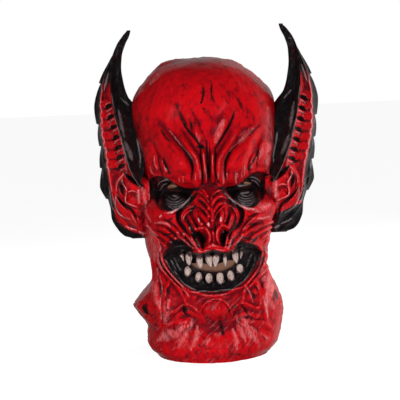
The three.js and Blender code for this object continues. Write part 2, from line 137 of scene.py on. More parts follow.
def nearest(uv, line, reach):
    """The places within reach of a line, their distances from it, and their shares of its length."""
    low, high = line.min(0) - reach, line.max(0) + reach
    some = np.flatnonzero(np.all((uv > low) & (uv < high), axis=1))
    p = uv[some]
    away = np.full(len(p), np.inf)
    share = np.zeros(len(p))
    lengths = np.linalg.norm(np.diff(line, axis=0), axis=1)
    starts = np.concatenate([[0], np.cumsum(lengths)])
    for i, (a, b) in enumerate(zip(line[:-1], line[1:])):
        d = b - a
        t = np.clip((p - a) @ d / (d @ d), 0, 1)
        here = np.linalg.norm(p - a - t[:, None] * d, axis=1)
        closer = here < away
        away[closer] = here[closer]
        share[closer] = (starts[i] + t[closer] * lengths[i]) / starts[-1]
    return some, away, share


OUTLINE_REACH = 12.0


def inside(uv, outline):
    """How far each place is inside a smooth closed outline, and negative outside it, up to a reach."""
    line = smooth_line(outline + outline[:2])
    some, away, _ = nearest(uv, line, OUTLINE_REACH)
    p = uv[some]
    crossed = np.zeros(len(p), bool)
    for a, b in zip(line[:-1], line[1:]):
        if a[1] == b[1]:
            continue
        over = (a[1] > p[:, 1]) != (b[1] > p[:, 1])
        side = p[:, 0] < a[0] + (b[0] - a[0]) * (p[:, 1] - a[1]) / (b[1] - a[1])
        crossed ^= over & side
    depth = np.full(len(uv), -OUTLINE_REACH)
    depth[some] = np.where(crossed, away, -away)
    return depth


# Between the sheet and space

def seen(p):
    """Where places in space show on the sheet."""
    near = VIEWER_DISTANCE / (VIEWER_DISTANCE + p[..., 1])
    u = p[..., 0] * near
    v = VIEWER_HEIGHT + (p[..., 2] - VIEWER_HEIGHT) * near - SHEET_FOOT
    return np.stack([u, v], axis=-1)


def spot(u, v, y):
    """The place in space that shows at (u, v), at a depth."""
    near = (VIEWER_DISTANCE + y) / VIEWER_DISTANCE
    z = VIEWER_HEIGHT + (v + SHEET_FOOT - VIEWER_HEIGHT) * near
    return np.stack(np.broadcast_arrays(u * near, y, z), axis=-1)


VIEWER = np.array([0, -VIEWER_DISTANCE, VIEWER_HEIGHT], float)


# The bare wall of the head

# Each curve gives a length for a height: half the width, how far the middle leans, and the reach of the
# wall to the front and to the back.
half_width = through((0, 74), (10, 83), (22, 86), (45, 86), (65, 82), (80, 79), (97, 74), (112, 73),
                     (128, 77), (147, 81), (170, 83), (200, 80), (222, 80), (245, 83), (262, 87),
                     (282, 90), (308, 92))
lean = through((0, -4), (25, -2.5), (45, -1.5), (80, -2), (110, -4.5), (135, -6), (165, -4), (195, 0),
               (245, 0), (290, -2), (330, -4), (378, -3))
front_reach = through((0, 94), (10, 98), (22, 99), (50, 95), (80, 96), (110, 100), (145, 103), (200, 104),
                      (245, 106), (275, 107), (308, 101))
back_reach = through((0, 74), (10, 81), (25, 84), (60, 78), (90, 73), (120, 74), (150, 83), (190, 98),
                     (230, 108), (270, 112), (308, 108))
ROUNDNESS = 2.2  # 2 is an ellipse, and more is squarer
DOME_ROUNDNESS = 2.3


def bare_wall(level, turn):
    """Places on the wall, and the way that carving moves each. Turn 0 is the face."""
    rise = np.clip((level - DOME_START) / (SKULL_TOP - DOME_START), 0, 1)
    shrink = (1 - rise ** DOME_ROUNDNESS) ** (1 / DOME_ROUNDNESS)
    s, c = np.sin(turn), np.cos(turn)
    reach = np.where(c > 0, front_reach(level), back_reach(level))
    width = half_width(level)
    x = lean(level) + width * shrink * np.sign(s) * np.abs(s) ** (2 / ROUNDNESS)
    y = -reach * shrink * np.sign(c) * np.abs(c) ** (2 / ROUNDNESS)
    at = np.stack([x, y, level], axis=-1)
    upward = rise ** (DOME_ROUNDNESS - 1) / (SKULL_TOP - DOME_START)
    outward = np.stack([s / width, -c / reach, upward], axis=-1)
    outward /= np.linalg.norm(outward, axis=-1, keepdims=True)
    towards = VIEWER - at
    towards /= np.linalg.norm(towards, axis=-1, keepdims=True)
    facing = ease(0.05, 0.6, np.sum(outward * towards, axis=-1))
    way = outward + (towards - outward) * facing[..., None]
    way /= np.linalg.norm(way, axis=-1, keepdims=True)
    return at, way, facing


# Forms of the face, as heights over the wall at places on the sheet

class Relief:
    """Heights over a set of places on the sheet, built up from mounds, rolls and cuts."""

    def __init__(self, uv):
        self.uv = uv
        self.height = np.zeros(len(uv))
        self.layer = np.zeros(len(uv))

    def sides(self, both):
        """The places, and again from the other side when a form stands on both."""
        yield self.uv
        if both:
            yield self.uv * (-1, 1)

    def mound(self, u, v, ru, rv, height, both=True):
        """A soft mound, or a hollow when its height is negative."""
        for uv in self.sides(both and u != 0):
            r = ((uv[:, 0] - u) / ru) ** 2 + ((uv[:, 1] - v) / rv) ** 2
            self.height += height * np.clip(1 - r, 0, 1) ** 2

    def ball(self, u, v, ru, rv, height, both=True):
        """A round ball with a plain edge."""
        for uv in self.sides(both and u != 0):
            r = ((uv[:, 0] - u) / ru) ** 2 + ((uv[:, 1] - v) / rv) ** 2
            self.layer = np.maximum(self.layer, height * np.sqrt(np.clip(1 - r, 0, 1)))

    def roll(self, places, start_width, end_width, height):
        """A rounded roll along a line, rising at its ends."""
        line = smooth_line(places)
        some, away, share = nearest(self.uv, line, max(start_width, end_width))
        width = start_width + (end_width - start_width) * share
        round_top = np.clip(1 - (away / width) ** 2, 0, 1) ** 0.6
        rise = ease(-0.05, 0.25, share) * (1 - ease(0.85, 1.1, share))
        self.layer[some] = np.maximum(self.layer[some], height * round_top * rise)

    def rolls(self, folds):
        for places, start_width, end_width, height in folds:
            self.roll(places, start_width, end_width, height)

    def settle(self):
        """Adds the rolls made so far, and starts a new layer over them."""
        self.height += self.layer
        self.layer = np.zeros(len(self.uv))

    def cut(self, places, width, depth, both=False):
        """A groove along a line, thinner at both ends."""
        line = smooth_line(places)
        for uv in self.sides(both):
            some, away, share = nearest(uv, line, width)
            taper = np.sin(np.pi * np.clip(share, 0.04, 0.96)) ** 0.5
            deep = depth * np.clip(1 - (away / (width * taper)) ** 2, 0, 1) ** 1.5 * taper
            self.height[some] -= deep

    def crease(self, places, reach, depth):
        """A sharp valley between two swollen sides, running out at both ends."""
        line = smooth_line(places)
        some, away, share = nearest(self.uv, line, reach)
        taper = np.sin(np.pi * np.clip(share, 0.03, 0.97)) ** 0.5
        self.height[some] -= depth * taper * np.clip(1 - away / reach, 0, 1) ** 2


UPPER_LIP = (0, 149, 9, 146, 18, 144.5, 26, 147, 34, 150, 45, 151.5, 55, 149.5, 63, 144)
LOWER_LIP = (63, 144, 60, 137, 53, 124, 44, 112, 33, 103, 21, 97, 0, 95.5)


def both_sides(half):
    """A closed outline from its right half, given from the top of the middle line to the foot of it."""
    p = np.array(half, float).reshape(-1, 2)
    left = p[1:-1][::-1] * (-1, 1)
    return list(np.vstack([p, left]).ravel())


MOUTH = both_sides(UPPER_LIP + LOWER_LIP[2:])
MOUTH_DEPTH = 17

# Outline of an eye socket, for u to the right
SOCKET = [78, 244, 70, 248, 60, 248, 50, 243, 42, 236, 32, 231.5, 22, 230.5, 22, 225, 27, 218, 35, 210,
          43, 205, 51, 202.5, 60, 205, 68, 213, 76, 225, 79, 236]

# Folds: a line on the sheet, the half width at its start and at its end, and the height
BROW_FOLDS = (
    ((-70, 312, -55, 288, -42, 268, -36, 248), 10, 17, 12),  # hanging lobes
    ((68, 306, 50, 284, 39, 266, 35, 248), 9, 16, 12),
    ((-38, 308, -27, 287, -18, 270, -14.5, 255, -15.5, 238), 4, 7, 11),  # rolls beside the frown
    ((36, 302, 25, 282, 16, 267, 13.5, 254, 15, 238), 4, 7, 11),
    ((-6.5, 282, -5.5, 262, -4.5, 240), 2.6, 3.4, 9),
    ((6.5, 280, 5.5, 262, 5, 240), 2.6, 3.4, 9),
    ((-78, 296, -72, 272, -67, 254), 8, 8, 9),  # drips over the outer end of the socket
    ((78, 292, 72, 272, 68, 254), 8, 8, 9),
    ((-62, 274, -58, 262, -54, 251), 4, 5, 9),
    ((62, 272, 58, 262, 55, 251), 4, 5, 9),
    ((-6, 292, -14, 308, -26, 332), 4, 7, 3.5),  # shield in the middle of the forehead
    ((8, 288, 17, 304, 28, 324), 4, 7, 4),
)
EYE_FOLDS = (
    ((-22, 225, -29, 215.5, -37, 208, -45, 203, -54, 200.5, -64, 203), 2, 2.6, 5),  # edge under the eye
    ((19, 225, 27, 215, 36, 207, 45, 202, 54, 200, 64, 203), 2, 2.6, 5),
    ((-74, 224, -70, 234, -63, 241, -54, 243, -44, 239), 1.8, 1.8, 5),  # upper lid
    ((45, 240, 54, 242.5, 62, 240, 69, 232, 70, 221), 1.8, 1.8, 5),
    ((-71, 222, -67, 231, -61, 236.5, -54, 238.5), 1.6, 1.6, 5),
    ((52, 238.5, 60, 236, 65, 230, 66, 221), 1.6, 1.6, 5),
    ((-66, 219, -62, 227, -54, 231, -44, 231, -34, 228), 2.0, 2.0, 7),
    ((30, 227, 40, 230, 51, 231, 59, 228, 63, 220), 2.0, 2.0, 7),
    ((-79, 224, -76, 236, -71, 246), 1.3, 1.3, 3.5),
    ((79, 222, 76, 235, 70, 245), 1.3, 1.3, 3.5),
)
# Wrinkles across an eye: height at the middle, and half width
EYE_WRINKLES = ((217.5, 8), (214, 11), (210.8, 12), (207.8, 11), (205, 8.5))


def flipped(places):
    """A flat line or outline on the other side of the middle."""
    return [-n if i % 2 == 0 else n for i, n in enumerate(places)]


def eye_wrinkles(side):
    """Lines across an eye, one under the other and hanging in the middle."""
    middle = 47.5 if side > 0 else 46
    for v, width in EYE_WRINKLES:
        half = width / 2
        line = (middle - width, v + 4, middle - half, v + 1, middle, v,
                middle + half, v + 1, middle + width, v + 4)
        yield line if side > 0 else flipped(line)


NOSE_FOLDS = (
    ((-9.5, 230, -5.5, 224, -2.5, 218), 2.0, 2.2, 4),
    ((-15, 227, -9.5, 222.5, -5, 217.5, -1.5, 211), 1.7, 1.7, 5),
    ((-17, 221, -10, 216.5, -4.5, 209, -0.5, 201), 2.9, 3.1, 6.5),
    ((-17, 211, -10, 205, -5, 198.5, -1.5, 191), 2.9, 3.1, 6.5),
    ((-16, 200.5, -9.5, 193, -5, 186.5, -2.5, 180), 3.1, 3.6, 8),
    ((-21, 204, -18, 193, -14.5, 186, -11, 181), 3.4, 3.6, 6.5),
    ((-12, 182, -7, 177.5, -3.5, 171.5, -2.5, 165, -4.5, 158.5), 3.2, 3.0, 10),  # rim of a nostril
    ((-30, 196, -26, 188, -23, 181, -19, 174.5), 3.2, 3.2, 9.5),  # wing
    ((-20, 176, -15, 179, -9, 178.5), 2.6, 2.6, 8),
    ((-20, 208, -28, 206, -34, 201.5, -38, 195, -39, 186), 1.7, 1.8, 6),
    ((-21, 204, -29, 201, -34, 196.5, -36.5, 189), 1.5, 1.5, 5),
    ((6.5, 227, 4, 221, 1.5, 215), 2.0, 2.0, 4),
    ((1, 212, 4, 220, 8.5, 225, 15, 227.5), 1.6, 1.6, 5),
    ((0.5, 201, 3.5, 211, 7.5, 216.5, 13, 219, 19, 218.3, 25, 215, 30, 209, 34, 201, 35.5, 190),
     3.3, 1.7, 7),
    ((1.5, 195, 6, 203, 10.5, 208.5, 17, 210.5), 3.1, 2.8, 6.5),
    ((1.5, 207, 2.5, 196, 1.5, 185), 3.4, 3.4, 7),
    ((3.5, 187, 8, 196.5, 13, 202.5, 19, 206.5), 1.6, 1.6, 6.5),
    ((15, 202, 14.5, 192, 11.5, 183), 3.3, 3.6, 8),
    ((19.5, 204, 19.5, 193, 17, 184), 2.2, 2.4, 6.5),
    ((28.5, 197, 27, 189, 24.5, 182.5, 20.5, 175), 3.1, 3.1, 9.5),
    ((22, 177, 16, 181, 11, 180), 2.6, 2.6, 8),
    ((13, 182, 9.3, 177, 7, 170.5, 7.5, 164, 9.5, 158), 3.1, 2.8, 10),
    ((23, 209, 28.5, 204.5, 33, 197.5, 34.5, 188), 1.5, 1.5, 5),
    ((31, 193, 30, 184, 27, 176, 21, 168, 18, 159), 1.6, 1.8, 5),
    ((2, 176, 2.5, 166, 2.5, 156), 3.4, 3.8, 5),  # septum
)
CHEEK_FOLDS = (
    ((-73, 189.5, -62, 188.5, -55, 184.5, -48, 178, -41, 170), 3.6, 2.8, 6),
    ((-70, 182, -60, 177.5, -52, 171, -45, 164), 3, 2.4, 5),
    ((-79, 179, -68, 173, -58, 166, -51, 159), 2.4, 2.4, 5),
    ((-81, 175, -73, 166, -69, 156, -69, 146), 2.4, 2.6, 5),
    ((-82, 182, -72, 175.5, -63, 170), 1.3, 1.3, 3.5),
    ((-76, 172, -66, 163, -60, 156), 1.4, 1.6, 3.5),
    ((-46, 171, -38, 165, -30, 158, -23, 151), 2.6, 3.4, 6.5),
    ((-33, 174, -26.5, 164, -20, 154, -16, 148.5), 3.2, 4.2, 8),
    ((-22, 169, -18.5, 160, -14.5, 150), 1.7, 2.0, 7),
    ((-31, 176, -36, 170, -43, 163), 2.2, 2.4, 5),
    ((40, 170, 46, 178, 54, 185, 64, 190), 2.8, 4.2, 6),
    ((37, 163, 46, 170, 56, 175.5, 68, 180, 80, 184), 2.6, 2.6, 5.5),
    ((48, 158, 56, 165.5, 67, 171.5, 80, 178), 2.4, 2.4, 5),
    ((62, 160, 71, 167, 79, 174), 2, 2, 4.5),
    ((66, 152, 72, 160, 76, 168), 2, 2.2, 4),
    ((52, 170, 62, 175.5, 74, 181), 1.3, 1.3, 3.5),
    ((32, 176, 28, 166, 21, 153), 3.2, 4.2, 8),
    ((21, 169, 19.5, 160, 17, 151), 1.7, 2.0, 7),
    ((43, 171, 35, 163, 27, 154), 2.4, 3, 6),
    ((-81, 226, -85, 211, -87.5, 199, -84.5, 189, -77, 181), 2.4, 2.4, 4.5),
    ((81, 226, 85, 211, 87, 199, 84, 188, 77, 181), 2.4, 2.4, 4.5),
)
LIP_FOLDS = (
    ((-31, 152, -24, 150.5, -15, 148.5, -8, 150.5, 0, 154, 8, 152, 17, 149.5, 25, 151.5, 33, 155),
     4.2, 4.2, 8),
    ((-26, 151, -38, 156.5, -50, 155.5, -60, 151, -67, 143), 2.6, 3.4, 5),
    ((29, 152, 38, 156, 49, 156, 59, 152, 66, 143), 2.6, 3.4, 5),
    ((-66, 151, -66, 140, -62, 130, -55, 120, -48, 111, -38, 100), 1.9, 1.9, 6),
    ((-71, 150, -70.5, 139, -66.5, 128, -59, 117, -51, 107.5, -42, 97), 1.9, 1.9, 5.5),
    ((63, 152, 65.5, 143, 62.5, 131, 56, 118.5, 48, 108, 39, 99), 1.9, 1.9, 6),
    ((69, 152, 70.5, 141, 67.5, 129, 60.5, 116, 52, 105, 43, 95), 1.9, 1.9, 5.5),
    ((-38, 99, -30, 95.5, -20, 95, -12, 97, -2, 95, 9, 97, 20, 96, 30, 97, 38, 99), 1.7, 1.7, 4.5),
    ((-78, 150, -76, 136, -70, 121, -63, 106), 3, 4, 4),
    ((78, 150, 76, 136, 70, 121, 63, 106), 3, 4, 4),
)
NECK_FOLDS = (
    ((-20, 62, -19, 70, -15, 77, -9, 82, 0, 84.5, 8, 84, 15, 79.5, 20, 72, 22, 62), 1.8, 1.8, 6.5),
    ((-15, 66, -12, 74, -6, 79.5, 2, 81, 9, 79, 14, 73, 16, 66), 1.6, 1.6, 5.5),
    ((-27, 96, -14, 90.5, 0, 89, 14, 90.5, 27, 96), 2.4, 2.4, 4),
    ((-20, 88, -10, 86, 0, 87, 12, 86, 20, 88), 1.6, 1.6, 3),
    ((-20, 66, -26, 73, -34, 78.5, -43, 78, -52, 72, -62, 68), 2, 3.2, 6),
    ((22, 66, 27, 73, 35, 78.5, 44, 76, 54, 71, 64, 72), 2, 3.2, 6),
    ((-19, 61, -28, 66, -38, 70, -48, 66, -56, 58), 2.6, 4, 3.4),
    ((24, 60, 33, 62, 43, 64, 53, 61, 62, 60), 2.6, 4, 3.4),
    ((-74, 42, -66, 52, -54, 57, -43, 57, -32, 60), 2.4, 4, 3.6),
    ((30, 60, 40, 55, 52, 52, 62, 51, 72, 43), 3, 3.4, 3.6),
    ((-52, 40, -44, 48, -34, 56), 3, 5, 2.4),
    ((32, 55, 42, 47, 50, 38), 4, 4, 2.4),
    ((-74, 40, -72.5, 64, -71.5, 92, -73, 118, -77, 142), 2.4, 4, 6),
    ((67, 44, 66, 68, 65, 92, 67, 116, 72, 140), 2.4, 4, 6),
    ((-62, 60, -66, 77, -64.5, 96, -58, 112), 2, 2.8, 4.5),
    ((56, 66, 61, 82, 58.5, 98, 51, 110), 2, 2.8, 4.5),
    ((-37, 79, -41, 90, -48, 103), 2, 2.6, 4.5),
    ((37, 79, 39, 91, 45, 103), 2, 2.6, 4.5),
    ((-82, 112, -84, 98, -80, 84), 2.4, 3, 4),
    ((80, 104, 83, 88, 80, 72), 2.4, 3, 4),
)
FOLDS_OVER_FOLDS = (
    ((-48, 148, -24, 145, 0, 146, 24, 145, 48, 148), 5, 5, 6),  # gums
    ((-42, 119, -24, 106, 0, 101, 24, 106, 42, 119), 8, 8, 8),
    ((-57, 144, -51, 130, -45, 118, -38, 108), 1.8, 2.2, 5),  # inner folds of the lips
    ((57, 144, 54, 133, 48, 121, 41, 110), 1.8, 2.2, 5),
    ((-52, 146, -47, 133, -42, 123), 1.6, 1.6, 4),
    ((52, 146, 48, 134, 43, 123), 1.6, 1.6, 4),
    ((-57, 138, -50.5, 125.5, -42, 114, -31.5, 105.5, -20, 99.8, 0, 98.2), 1.2, 1.2, 5),
    ((57, 138, 50.5, 125.5, 42, 114, 31.5, 105.5, 20, 99.8, 0, 98.2), 1.2, 1.2, 5),
    ((-44, 152, -36, 150, -28, 151), 1.6, 1.6, 3),
    ((28, 151, 36, 153, 46, 152), 1.6, 1.6, 3),
)

# Creases: a line on the sheet, the reach of its swollen sides, its depth, and the half width of its paint
CREASES = (
    ((-54, 312, -44, 300, -37, 291, -29, 281, -22.5, 272, -20, 261, -21, 250, -24, 240, -28, 233),
     8, 4.5, 0.4),
    ((70, 311, 56, 299, 45, 290, 35, 282, 27, 273, 22.5, 262, 21, 250, 22, 240, 23, 233), 8, 4.5, 0.4),
    ((-28, 279, -22.5, 271, -20.5, 262, -20.5, 252), 3, 2.5, 1.9),
    ((30, 278, 25.5, 271, 22.5, 264, 22, 255), 3, 2.5, 1.9),
    ((-9.5, 282, -9, 262, -8.5, 248, -9.5, 238, -15, 231), 4.5, 3.5, 1.3),
    ((9.5, 282, 9, 262, 9, 248, 11.5, 239, 18, 232), 4.5, 3.5, 1.3),
    ((-1, 292, -1, 262, -1.5, 233), 3.5, 4.5, 1.7),
    ((2.6, 289, 2, 262, 1.5, 233), 3, 3.5, 1.3),
    ((-9, 285, -15, 294, -20, 301, -27, 311, -34, 330), 5.5, 4, 1.8),
    ((9, 279, 14, 287, 18, 293, 24, 302, 30, 312, 36, 326), 5.5, 4, 1.8),
    ((-50, 250, -54, 259, -58.5, 271), 5, 3.5, 1.8),
    ((51, 250, 55, 258, 60, 266, 67, 278), 5, 3.5, 1.5),
    ((-60, 250, -62.5, 262, -66, 276), 4, 2.2, 0.6),
    ((60, 251, 63, 263, 68, 276), 4, 2.2, 0.5),
    ((-70, 250, -71, 262, -75, 276), 4, 2.2, 0.6),
    ((71, 251, 73, 262, 78, 274), 4, 2.2, 0.5),
    ((-32, 235, -31.5, 243, -33, 252), 2.6, 1, 0.2),
    ((-37.5, 236, -38, 244, -37, 252), 2.6, 0.8, 0.2),
    ((26, 233, 25, 244, 26, 256), 3, 1.5, 0.4),
    ((32.5, 234, 33, 243, 36, 254), 3, 1.4, 0.35),
    ((38.5, 235, 38.5, 243, 41, 254), 3, 1.4, 0.35),
    ((45.5, 239, 44, 247, 46, 258), 3, 1.2, 0.3),
    ((-40, 276, -46, 282, -52, 290), 3, 1.5, 0.9),
    ((36, 263, 41, 270, 47, 276), 3, 1.6, 0.8),
    ((-60, 310, -55, 301, -50, 294), 3.5, 1.6, 1.5),
    ((54, 296, 62, 303, 68, 309), 3, 1.5, 1.0),
    ((-2, 361, -2.5, 351, -6, 341), 2.6, 1.6, 1.0),
    ((9, 368, 8, 352, 11, 341), 2.6, 1.6, 1.0),
    ((-24, 222, -30, 213, -37, 206, -42, 198, -41, 188, -36, 180, -29, 170), 5.5, 8, 3.6),
    ((20, 221, 27, 213, 35, 205.5, 40.5, 198, 40, 189, 36, 181, 30, 175), 5.5, 8, 3.6),
    ((-31, 194, -27.5, 184, -23, 174), 3, 4, 1.8),
    ((31.5, 190, 29, 180, 23, 172), 3, 4, 1.8),
    ((-14, 162, -12, 153), 3, 4, 2.6),
    ((4, 186, 5.5, 178, 4, 170), 2.2, 3, 1.2),
    ((-47, 195, -56, 190, -64, 190), 2.6, 1.6, 0.6),
    ((48, 190, 55, 193, 62, 195), 2.6, 1.8, 0.9),
    ((7, 62, 6, 50, 9, 36), 5, 2.6, 0.3),
    ((-40, 80, -41, 71, -36, 66), 4, 4, 1.2),
    ((32, 78, 37, 72, 42, 64), 4, 4, 1.0),
    ((-90, 84, -91, 77, -88, 70), 7, 5, 4.0),
    ((78, 92, 77, 82, 79, 74), 5, 3, 0.8),
)


def broad_forms(relief):
    """The main forms of the face, without its folds."""
    relief.mound(32, 264, 62, 40, 14)  # brow
    relief.mound(0, 300, 34, 40, 4)  # middle of the forehead
    relief.mound(50, 223, 36, 27, -25)  # eye socket
    relief.mound(27, 228, 16, 13, -9)  # inner corner of the eye
    relief.mound(64, 200, 32, 28, 10)  # cheekbone
    relief.mound(0, 138, 86, 60, 21)  # muzzle
    relief.mound(0, 184, 46, 50, 26)  # snout
    relief.mound(0, 236, 14, 18, -6)  # root of the nose
    relief.mound(0, 74, 40, 30, 12)  # chin
    relief.mound(64, 90, 22, 46, 6)  # neck cord
    relief.mound(32, 62, 20, 26, -5)  # hollow beside the chin
    relief.mound(0, 18, 50, 30, 4)  # breast of the bib


BROW_OVERHANG = 10
SOCKET_FLOOR = 3


def eye_forms(relief):
    """Sockets cut back under the brow, and swollen eyes with their lids and wrinkles."""
    for side in (-1, 1):
        uv = relief.uv * (side, 1)
        depth = inside(uv, SOCKET)
        under_brow = ease(214, 230, uv[:, 1])
        relief.height -= BROW_OVERHANG * ease(-1.2, 1.8, depth) * under_brow
        relief.height -= SOCKET_FLOOR * ease(-0.5, 3, depth) * (1 - under_brow)
    relief.ball(48, 216, 19, 15, 15)  # eyeball
    relief.rolls(EYE_FOLDS)
    relief.ball(-47.5, 234.8, 6, 3, 8, both=False)
    relief.ball(47, 234, 8, 2.6, 8, both=False)
    relief.settle()
    for side in (-1, 1):
        for line in eye_wrinkles(side):
            relief.roll(line, 1.2, 1.2, 1.6)
    relief.settle()
    relief.cut((30, 228, 42, 227, 54, 227.5, 62, 231), 2.6, 4, True)


def nostrils(relief):
    relief.mound(-12.5, 166, 9, 11, -15, both=False)
    relief.mound(-18, 171, 8, 7, -9, both=False)
    relief.mound(14.5, 166, 7.5, 12, -15, both=False)
    relief.mound(18, 171, 7, 6, -7, both=False)


def mouth_forms(relief):
    """The mouth sunk behind its lips, less deep at its corners."""
    side = np.abs(relief.uv[:, 0])
    uv = np.stack([side, relief.uv[:, 1]], axis=-1)
    depth = inside(uv, MOUTH)
    relief.height -= MOUTH_DEPTH * ease(-0.8, 4.5, depth) * (1 - 0.25 * ease(20, 60, side))


GUM_CUP = (2.2, 2.2, 14)


def gum_cups(relief):
    """A swollen rim round the root of each tooth, and the folds inside the lips."""
    for gum_u, gum_v, _, tip_v, width, _ in TEETH:
        up = np.sign(tip_v - gum_v)
        reach = width + 1.4
        side_v = gum_v + up * 3.5
        relief.roll((gum_u - reach, side_v, gum_u, gum_v - up, gum_u + reach, side_v), *GUM_CUP)
    relief.rolls(FOLDS_OVER_FOLDS)
    relief.settle()


def carve(uv):
    """Heights of the face."""
    relief = Relief(uv)
    broad_forms(relief)
    relief.mound(70, 206, 24, 22, 4)  # cheek
    for folds in (BROW_FOLDS, NOSE_FOLDS, CHEEK_FOLDS):
        relief.rolls(folds)
        relief.settle()
    mouth_forms(relief)
    for folds in (LIP_FOLDS, NECK_FOLDS):
        relief.rolls(folds)
    relief.ball(1, 69, 17, 12, 9, both=False)  # ball under the chin
    relief.settle()
    eye_forms(relief)
    nostrils(relief)
    gum_cups(relief)
    for places, reach, depth, _ in CREASES:
        relief.crease(places, reach, depth)
    return relief.height


def inside_forms(uv):
    """Heights of the hollow behind the face, which keeps clear of all that is sunk."""
    relief = Relief(uv)
    broad_forms(relief)
    relief.mound(0, 127, 92, 46, -MOUTH_DEPTH - 6)  # mouth
    relief.mound(54, 140, 36, 34, -12)  # its corners
    relief.mound(52, 232, 44, 26, -16)  # eyes
    relief.mound(0, 178, 62, 44, -14)  # nostrils
    return relief.height


# Bulges on the sides of the neck
SHOULDER_HEIGHT = 65
RIGHT_SHOULDER = 22
LEFT_SHOULDER = 8
RIGHT_ABOVE = 36
RIGHT_BELOW = 28
LEFT_SPREAD = 44


def shoulder(at):
    """How far the sides of the neck bulge, further and to a point on the mask's right."""
    x, z = at[..., 0], at[..., 2]
    reach = np.where(x < 0, RIGHT_SHOULDER, LEFT_SHOULDER)
    right_spread = np.where(z > SHOULDER_HEIGHT, RIGHT_ABOVE, RIGHT_BELOW)
    spread = np.where(x < 0, right_spread, LEFT_SPREAD)
    side = ease(0.6, 1, np.abs(x - lean(z)) / half_width(z))
    return reach * side * np.clip(1 - np.abs(z - SHOULDER_HEIGHT) / spread, 0, 1) ** 1.2


# Rolls of skin on the back of the neck: height, half thickness and swell
NAPE_ROLLS = ((90, 9, 3.0), (113, 11, 3.6), (140, 12, 2.6))
NAPE_DROOP = 0.002
NAPE_WAVE = 2.2
NAPE_WAVE_LENGTH = 19


def nape(at):
    """How far the rolls on the nape swell, lower at their ends and a little wavy."""
    x, y, z = at[..., 0], at[..., 1], at[..., 2]
    sag = NAPE_DROOP * x ** 2 + NAPE_WAVE * np.sin(x / NAPE_WAVE_LENGTH)
    rolls = np.zeros(x.shape)
    for height, half, swell in NAPE_ROLLS:
        rolls += swell * np.clip(1 - ((z + sag - height) / half) ** 2, 0, 1)
    return rolls * ease(5, 55, y)


# Bumps of the skull: middle on the sheet, half width, half height, and height
SKULL_BUMPS = ((-42, 388, 34, 22, 3.5), (-68, 364, 34, 32, -3.5), (60, 370, 40, 32, -6.5),
               (0, 398, 28, 14, 1.8))


def carved_height(level, turn, forms):
    """How far the carving moves the wall, with the face fading out at its sides."""
    at, _, facing = bare_wall(level, turn)
    uv = seen(at)
    front = np.where(at[..., 1] < 0, ease(0, 0.35, facing), 0)
    height = forms(uv.reshape(-1, 2)).reshape(level.shape) * front
    for u, v, ru, rv, swing in SKULL_BUMPS:
        r = ((uv[..., 0] - u) / ru) ** 2 + ((uv[..., 1] - v) / rv) ** 2
        height += swing * np.clip(1 - r, 0, 1) ** 2
    return height + shoulder(at)


# Meshes

def places_of(piece):
    """A piece's vertices in metres."""
    flat = np.empty(len(piece.data.vertices) * 3)
    piece.data.vertices.foreach_get("co", flat)
    return flat.reshape(-1, 3)


def put(piece, places):
    """Moves a piece's vertices to places in the layout's millimetres."""
    piece.data.vertices.foreach_set("co", ((places + (0, SHIFT, 0)) * MM).ravel())
    piece.data.update()


def layout_places(piece):
    """A piece's vertices in the layout's millimetres."""
    return places_of(piece) / MM - (0, SHIFT, 0)


def ringed(name, rings, low, high):
    """A closed skin through rings of places between two poles, shaped from a UV sphere."""
    count, around = rings.shape[:2]
    bpy.ops.object.select_all(action="DESELECT")
    bpy.ops.mesh.primitive_uv_sphere_add(segments=around, ring_count=count + 1, radius=1)
    piece = bpy.context.object
    piece.name = name
    ball = places_of(piece)
    ring = np.rint(np.arccos(np.clip(-ball[:, 2], -1, 1)) / np.pi * (count + 1)).astype(int)
    column = np.rint(np.arctan2(ball[:, 1], ball[:, 0]) / (2 * np.pi) * around).astype(int) % around
    places = rings[np.clip(ring - 1, 0, count - 1), column]
    places[ring == 0] = low
    places[ring == count + 1] = high
    put(piece, places)
    return piece


def volume_of(piece):
    """The volume inside a closed skin, negative when its faces are turned in."""
    mesh = piece.data
    mesh.calc_loop_triangles()
    corners = np.empty(len(mesh.loop_triangles) * 3, np.int32)
    mesh.loop_triangles.foreach_get("vertices", corners)
    a, b, c = places_of(piece)[corners.reshape(-1, 3)].transpose(1, 0, 2)
    return np.sum(np.cross(a, b) * c) / 6


def outward(piece):
    """Turns a closed skin's faces out, whichever way its rings ran."""
    if volume_of(piece) < 0:
        bpy.ops.object.select_all(action="DESELECT")
        piece.select_set(True)
        bpy.context.view_layer.objects.active = piece
        bpy.ops.object.mode_set(mode="EDIT")
        bpy.ops.mesh.select_all(action="SELECT")
        bpy.ops.mesh.flip_normals()
        bpy.ops.object.mode_set(mode="OBJECT")
    return piece


PARTS = ("skin", "inside", "tooth", "ear", "blade")


def tag(piece, part):
    """Marks all the faces of a piece by a material slot, which joining and cutting keep."""
    piece.data.materials.clear()
    for _ in PARTS:
        piece.data.materials.append(None)
    slots = np.full(len(piece.data.polygons), PARTS.index(part), np.int32)
    piece.data.polygons.foreach_set("material_index", slots)
    return outward(piece)


def combine(piece, other, operation):
    """Joins or cuts one closed skin with another, which is used up."""
    bpy.context.view_layer.objects.active = piece
    modifier = piece.modifiers.new(operation.lower(), "BOOLEAN")
    modifier.operation = operation
    modifier.solver = "MANIFOLD"
    modifier.object = other
    bpy.ops.object.modifier_apply(modifier=modifier.name)
    bpy.data.objects.remove(other, do_unlink=True)


